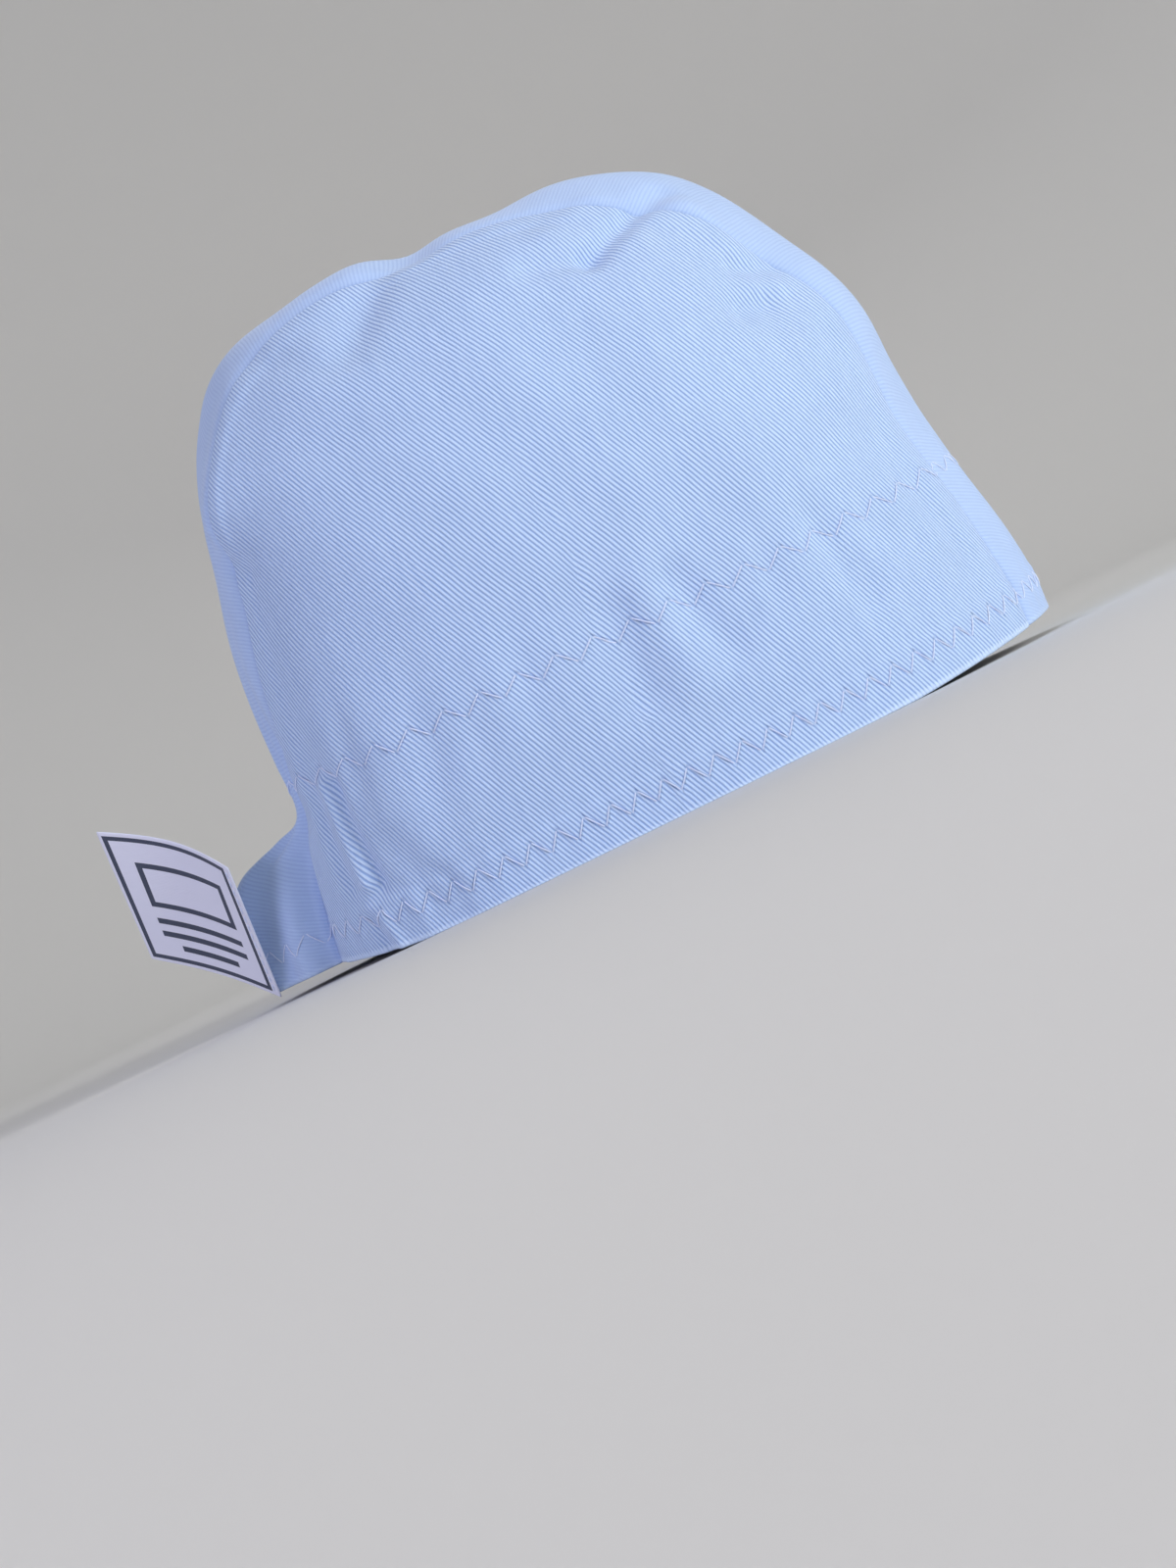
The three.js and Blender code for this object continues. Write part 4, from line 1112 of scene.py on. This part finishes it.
def label_axes():
    """The label's foot and its three directions: the foot is where the tail's right side stands
    out furthest along the label's normal, moved back by the sewn edge and down to its clearance."""
    up = unit(np.array(LABEL_UP))
    along = unit(np.array(LABEL_ALONG))
    out = unit(np.cross(up, along))
    reach, steps = TAIL_SEARCH
    across = np.linspace(reach, 0, steps) * TAIL_HALF_WIDTH
    power = section("back_power", np.array(RING_LEVEL)) / 2
    angle = math.pi + np.sign(across) * np.arcsin((np.abs(across) / (CAP_WIDTH / 2)) ** power)
    highest, steps = TAIL_SEARCH_LEVELS
    angle, level = np.meshgrid(angle, np.linspace(0, highest, steps))
    tail = cap_point(angle, level, soft=False).reshape(-1, 3)
    crest = tail[np.argmax(tail @ out)]
    foot = crest + out * (SEAM_GAP + LABEL_SOLID / 2) - along * LABEL_SEAM
    return foot + up * (LABEL_CLEAR - foot[2]) / up[2], up, along, out


def label_point(s, t, layer):
    """A place on the label at shares of its width and height, layer mm off its middle; it bows
    towards the tail by half a sine across, less so at its lower edge."""
    foot, up, along, out = label_axes()
    bow = LABEL_CURL * np.sin(math.pi * s) * (LABEL_CURL_LOW + (1 - LABEL_CURL_LOW) * t)
    parts = (along, s * LABEL_WIDTH), (up, t * LABEL_HEIGHT), (out, layer - bow)
    return foot + sum(np.asarray(amount)[..., None] * way for way, amount in parts)


class CAP_OT_size_label(bpy.types.Operator):
    """Make the plain printed size label and the stitches that hold it"""

    bl_idname = "cap.size_label"
    bl_label = "Size label"

    def execute(self, context):
        tint = context.scene.cap_colours
        rows, columns = LABEL_GRID
        half = LABEL_CLOTH / 2
        s, t = np.meshgrid(np.linspace(0, 1, columns), np.linspace(0, 1, rows))
        maps = {"label": np.stack([s * LABEL_WIDTH, t * LABEL_HEIGHT], axis=-1)}
        shell = cloth_shell(label_point(s, t, half), label_point(s, t, -half), True, maps)
        finish = printed_satin("printed satin", tint.label, tint.ink)
        piece = mesh_piece("size_label_satin", *shell, "label_satin", finish)
        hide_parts("size_label")
        k = np.arange(LABEL_STITCH_COUNT)[:, None]
        along = np.linspace(0, 1, LABEL_STITCH_STEPS)[None, :]
        row = LABEL_STITCH_ROW * (k + LABEL_STITCH_SHARE * along) / LABEL_STITCH_COUNT
        t = (1 - LABEL_STITCH_ROW) / 2 + row
        s = np.full_like(t, LABEL_STITCH_INSET / LABEL_WIDTH)
        radius = context.scene.cap_stitches.thread / 2
        lift = half + stitch_lift(along, radius, LABEL_STITCH_ARCH)
        paths = label_point(s, t, np.broadcast_to(lift, t.shape))
        normals = np.broadcast_to(label_axes()[3], paths.shape)
        mesh_piece("label_stitches", *tubes(paths, normals, radius), "label_satin", thread_finish())
        return {"FINISHED"}


def standing(right, up, back, place):
    """The matrix of an object that stands at a place with these three directions."""
    matrix = np.eye(4)
    matrix[:3] = np.stack([right, up, back, place], axis=1)
    return Matrix(matrix.tolist())


def floor_dish():
    """The floor and its backdrop in one: a profile (flat, quarter circle, wall) turned about Z,
    closed in the middle by a fan."""
    bend = np.linspace(0, math.pi / 2, DISH_BEND_STEPS)
    top = [DISH_BEND + DISH_WALL]
    radius = np.concatenate([DISH_RINGS, DISH_FLAT + DISH_BEND * np.sin(bend), [DISH_FLAT + DISH_BEND]])
    rise = np.concatenate([np.zeros(len(DISH_RINGS)), DISH_BEND * (1 - np.cos(bend)), top])
    turn = np.linspace(0, 2 * math.pi, DISH_TURNS, endpoint=False)
    x, y = radius[:, None] * np.cos(turn), radius[:, None] * np.sin(turn)
    rings = np.stack([x, y, np.broadcast_to(rise[:, None], x.shape)], axis=-1).reshape(-1, 3)
    points = np.concatenate([rings, [[0, 0, 0]]])
    quads = grid_faces(len(radius), DISH_TURNS, closed=True)[:, ::-1]
    fan = [[len(rings), k, (k + 1) % DISH_TURNS] for k in range(DISH_TURNS)]
    return points.tolist(), quads.tolist() + fan


def lay_floor(scene):
    """Puts the floor under the cap."""
    points, faces = floor_dish()
    mesh = bpy.data.meshes.new("floor")
    mesh.from_pydata(points, [], faces)
    mesh.polygons.foreach_set("use_smooth", np.ones(len(mesh.polygons), bool))
    mesh.materials.append(painted_floor("painted backdrop", scene.cap_colours.floor))
    floor = bpy.data.objects.new("floor", mesh)
    scene.collection.objects.link(floor)


def hang_lamps(scene):
    """Puts up the lamps of LAMPS, each turned to face LAMP_TARGET, and the light of the room."""
    for name, (place, size, power, tint) in LAMPS.items():
        lamp = bpy.data.lights.new(name, "AREA")
        lamp.energy = power
        lamp.size = size
        lamp.color = colour(tint)
        holder = bpy.data.objects.new(name, lamp)
        back = unit(np.array(place) - np.array(LAMP_TARGET))
        right = unit(np.cross([0.0, 0.0, 1.0], back))
        holder.matrix_world = standing(right, np.cross(back, right), back, place)
        scene.collection.objects.link(holder)
    world = bpy.data.worlds.new("studio")
    world.use_nodes = True
    background = world.node_tree.nodes["Background"]
    background.inputs["Color"].default_value = full(colour(WORLD_COLOUR))
    background.inputs["Strength"].default_value = WORLD_POWER
    scene.world = world


def place_camera(scene):
    """Puts the camera at its distance and elevation: its right and up directions are turned
    about the line of sight by the roll."""
    e, r = CAMERA_ELEVATION, CAMERA_ROLL
    back = np.array([0.0, -math.cos(e), math.sin(e)])
    level = np.array([1.0, 0.0, 0.0])
    rise = np.cross(back, level)
    right = level * math.cos(r) - rise * math.sin(r)
    up = level * math.sin(r) + rise * math.cos(r)
    camera = bpy.data.cameras.new("camera")
    camera.lens = CAMERA_LENS
    camera.sensor_width = CAMERA_SENSOR
    camera.clip_start = CAMERA_NEAR
    eye = bpy.data.objects.new("camera", camera)
    eye.matrix_world = standing(right, up, back, np.array(CAMERA_TARGET) + CAMERA_DISTANCE * back)
    scene.collection.objects.link(eye)
    scene.camera = eye


class CAP_OT_stage(bpy.types.Operator):
    """Make the floor, the lamps, the world and the camera"""

    bl_idname = "cap.stage"
    bl_label = "Stage"

    def execute(self, context):
        lay_floor(context.scene)
        hang_lamps(context.scene)
        # The plain transform keeps the cloth's own pale blue, which a filmic one would grey.
        context.scene.view_settings.view_transform = "Standard"
        place_camera(context.scene)
        return {"FINISHED"}


class CAP_PT_panel(bpy.types.Panel):
    """Lists the cap's pieces and their sizes"""

    bl_label = "Welding cap"
    bl_idname = "CAP_PT_panel"
    bl_space_type = "VIEW_3D"
    bl_region_type = "UI"
    bl_category = "Cap"

    def draw(self, context):
        for operator in OPERATORS:
            self.layout.operator(operator.bl_idname)
        for name, kind in GROUPS.items():
            box = self.layout.box()
            for size in kind.__annotations__:
                box.prop(getattr(context.scene, name), size)


GROUPS = {"cap_cloth": CapCloth, "cap_stitches": CapStitches, "cap_colours": CapColours}
OPERATORS = (
    CAP_OT_crown_strip, CAP_OT_side_panels, CAP_OT_sweatband, CAP_OT_zigzags, CAP_OT_size_label,
    CAP_OT_stage,
)


def register():
    for kind in (*GROUPS.values(), *OPERATORS, CAP_PT_panel):
        bpy.utils.register_class(kind)
    for name, kind in GROUPS.items():
        setattr(bpy.types.Scene, name, bpy.props.PointerProperty(type=kind))


def unregister():
    for name in GROUPS:
        delattr(bpy.types.Scene, name)
    for kind in (CAP_PT_panel, *reversed(OPERATORS), *reversed(list(GROUPS.values()))):
        bpy.utils.unregister_class(kind)


def main():
    """Makes every piece and the stage, with the zigzags fitted evenly round the cap."""
    register()
    stitch = bpy.context.scene.cap_stitches
    stitch.wide_pitch = even_pitch(stitch.wide_pitch)
    stitch.narrow_pitch = even_pitch(stitch.narrow_pitch)
    bpy.ops.cap.crown_strip()
    bpy.ops.cap.side_panels()
    bpy.ops.cap.sweatband()
    bpy.ops.cap.zigzags()
    bpy.ops.cap.size_label()
    bpy.ops.cap.stage()


if __name__ == "__main__":
    main()
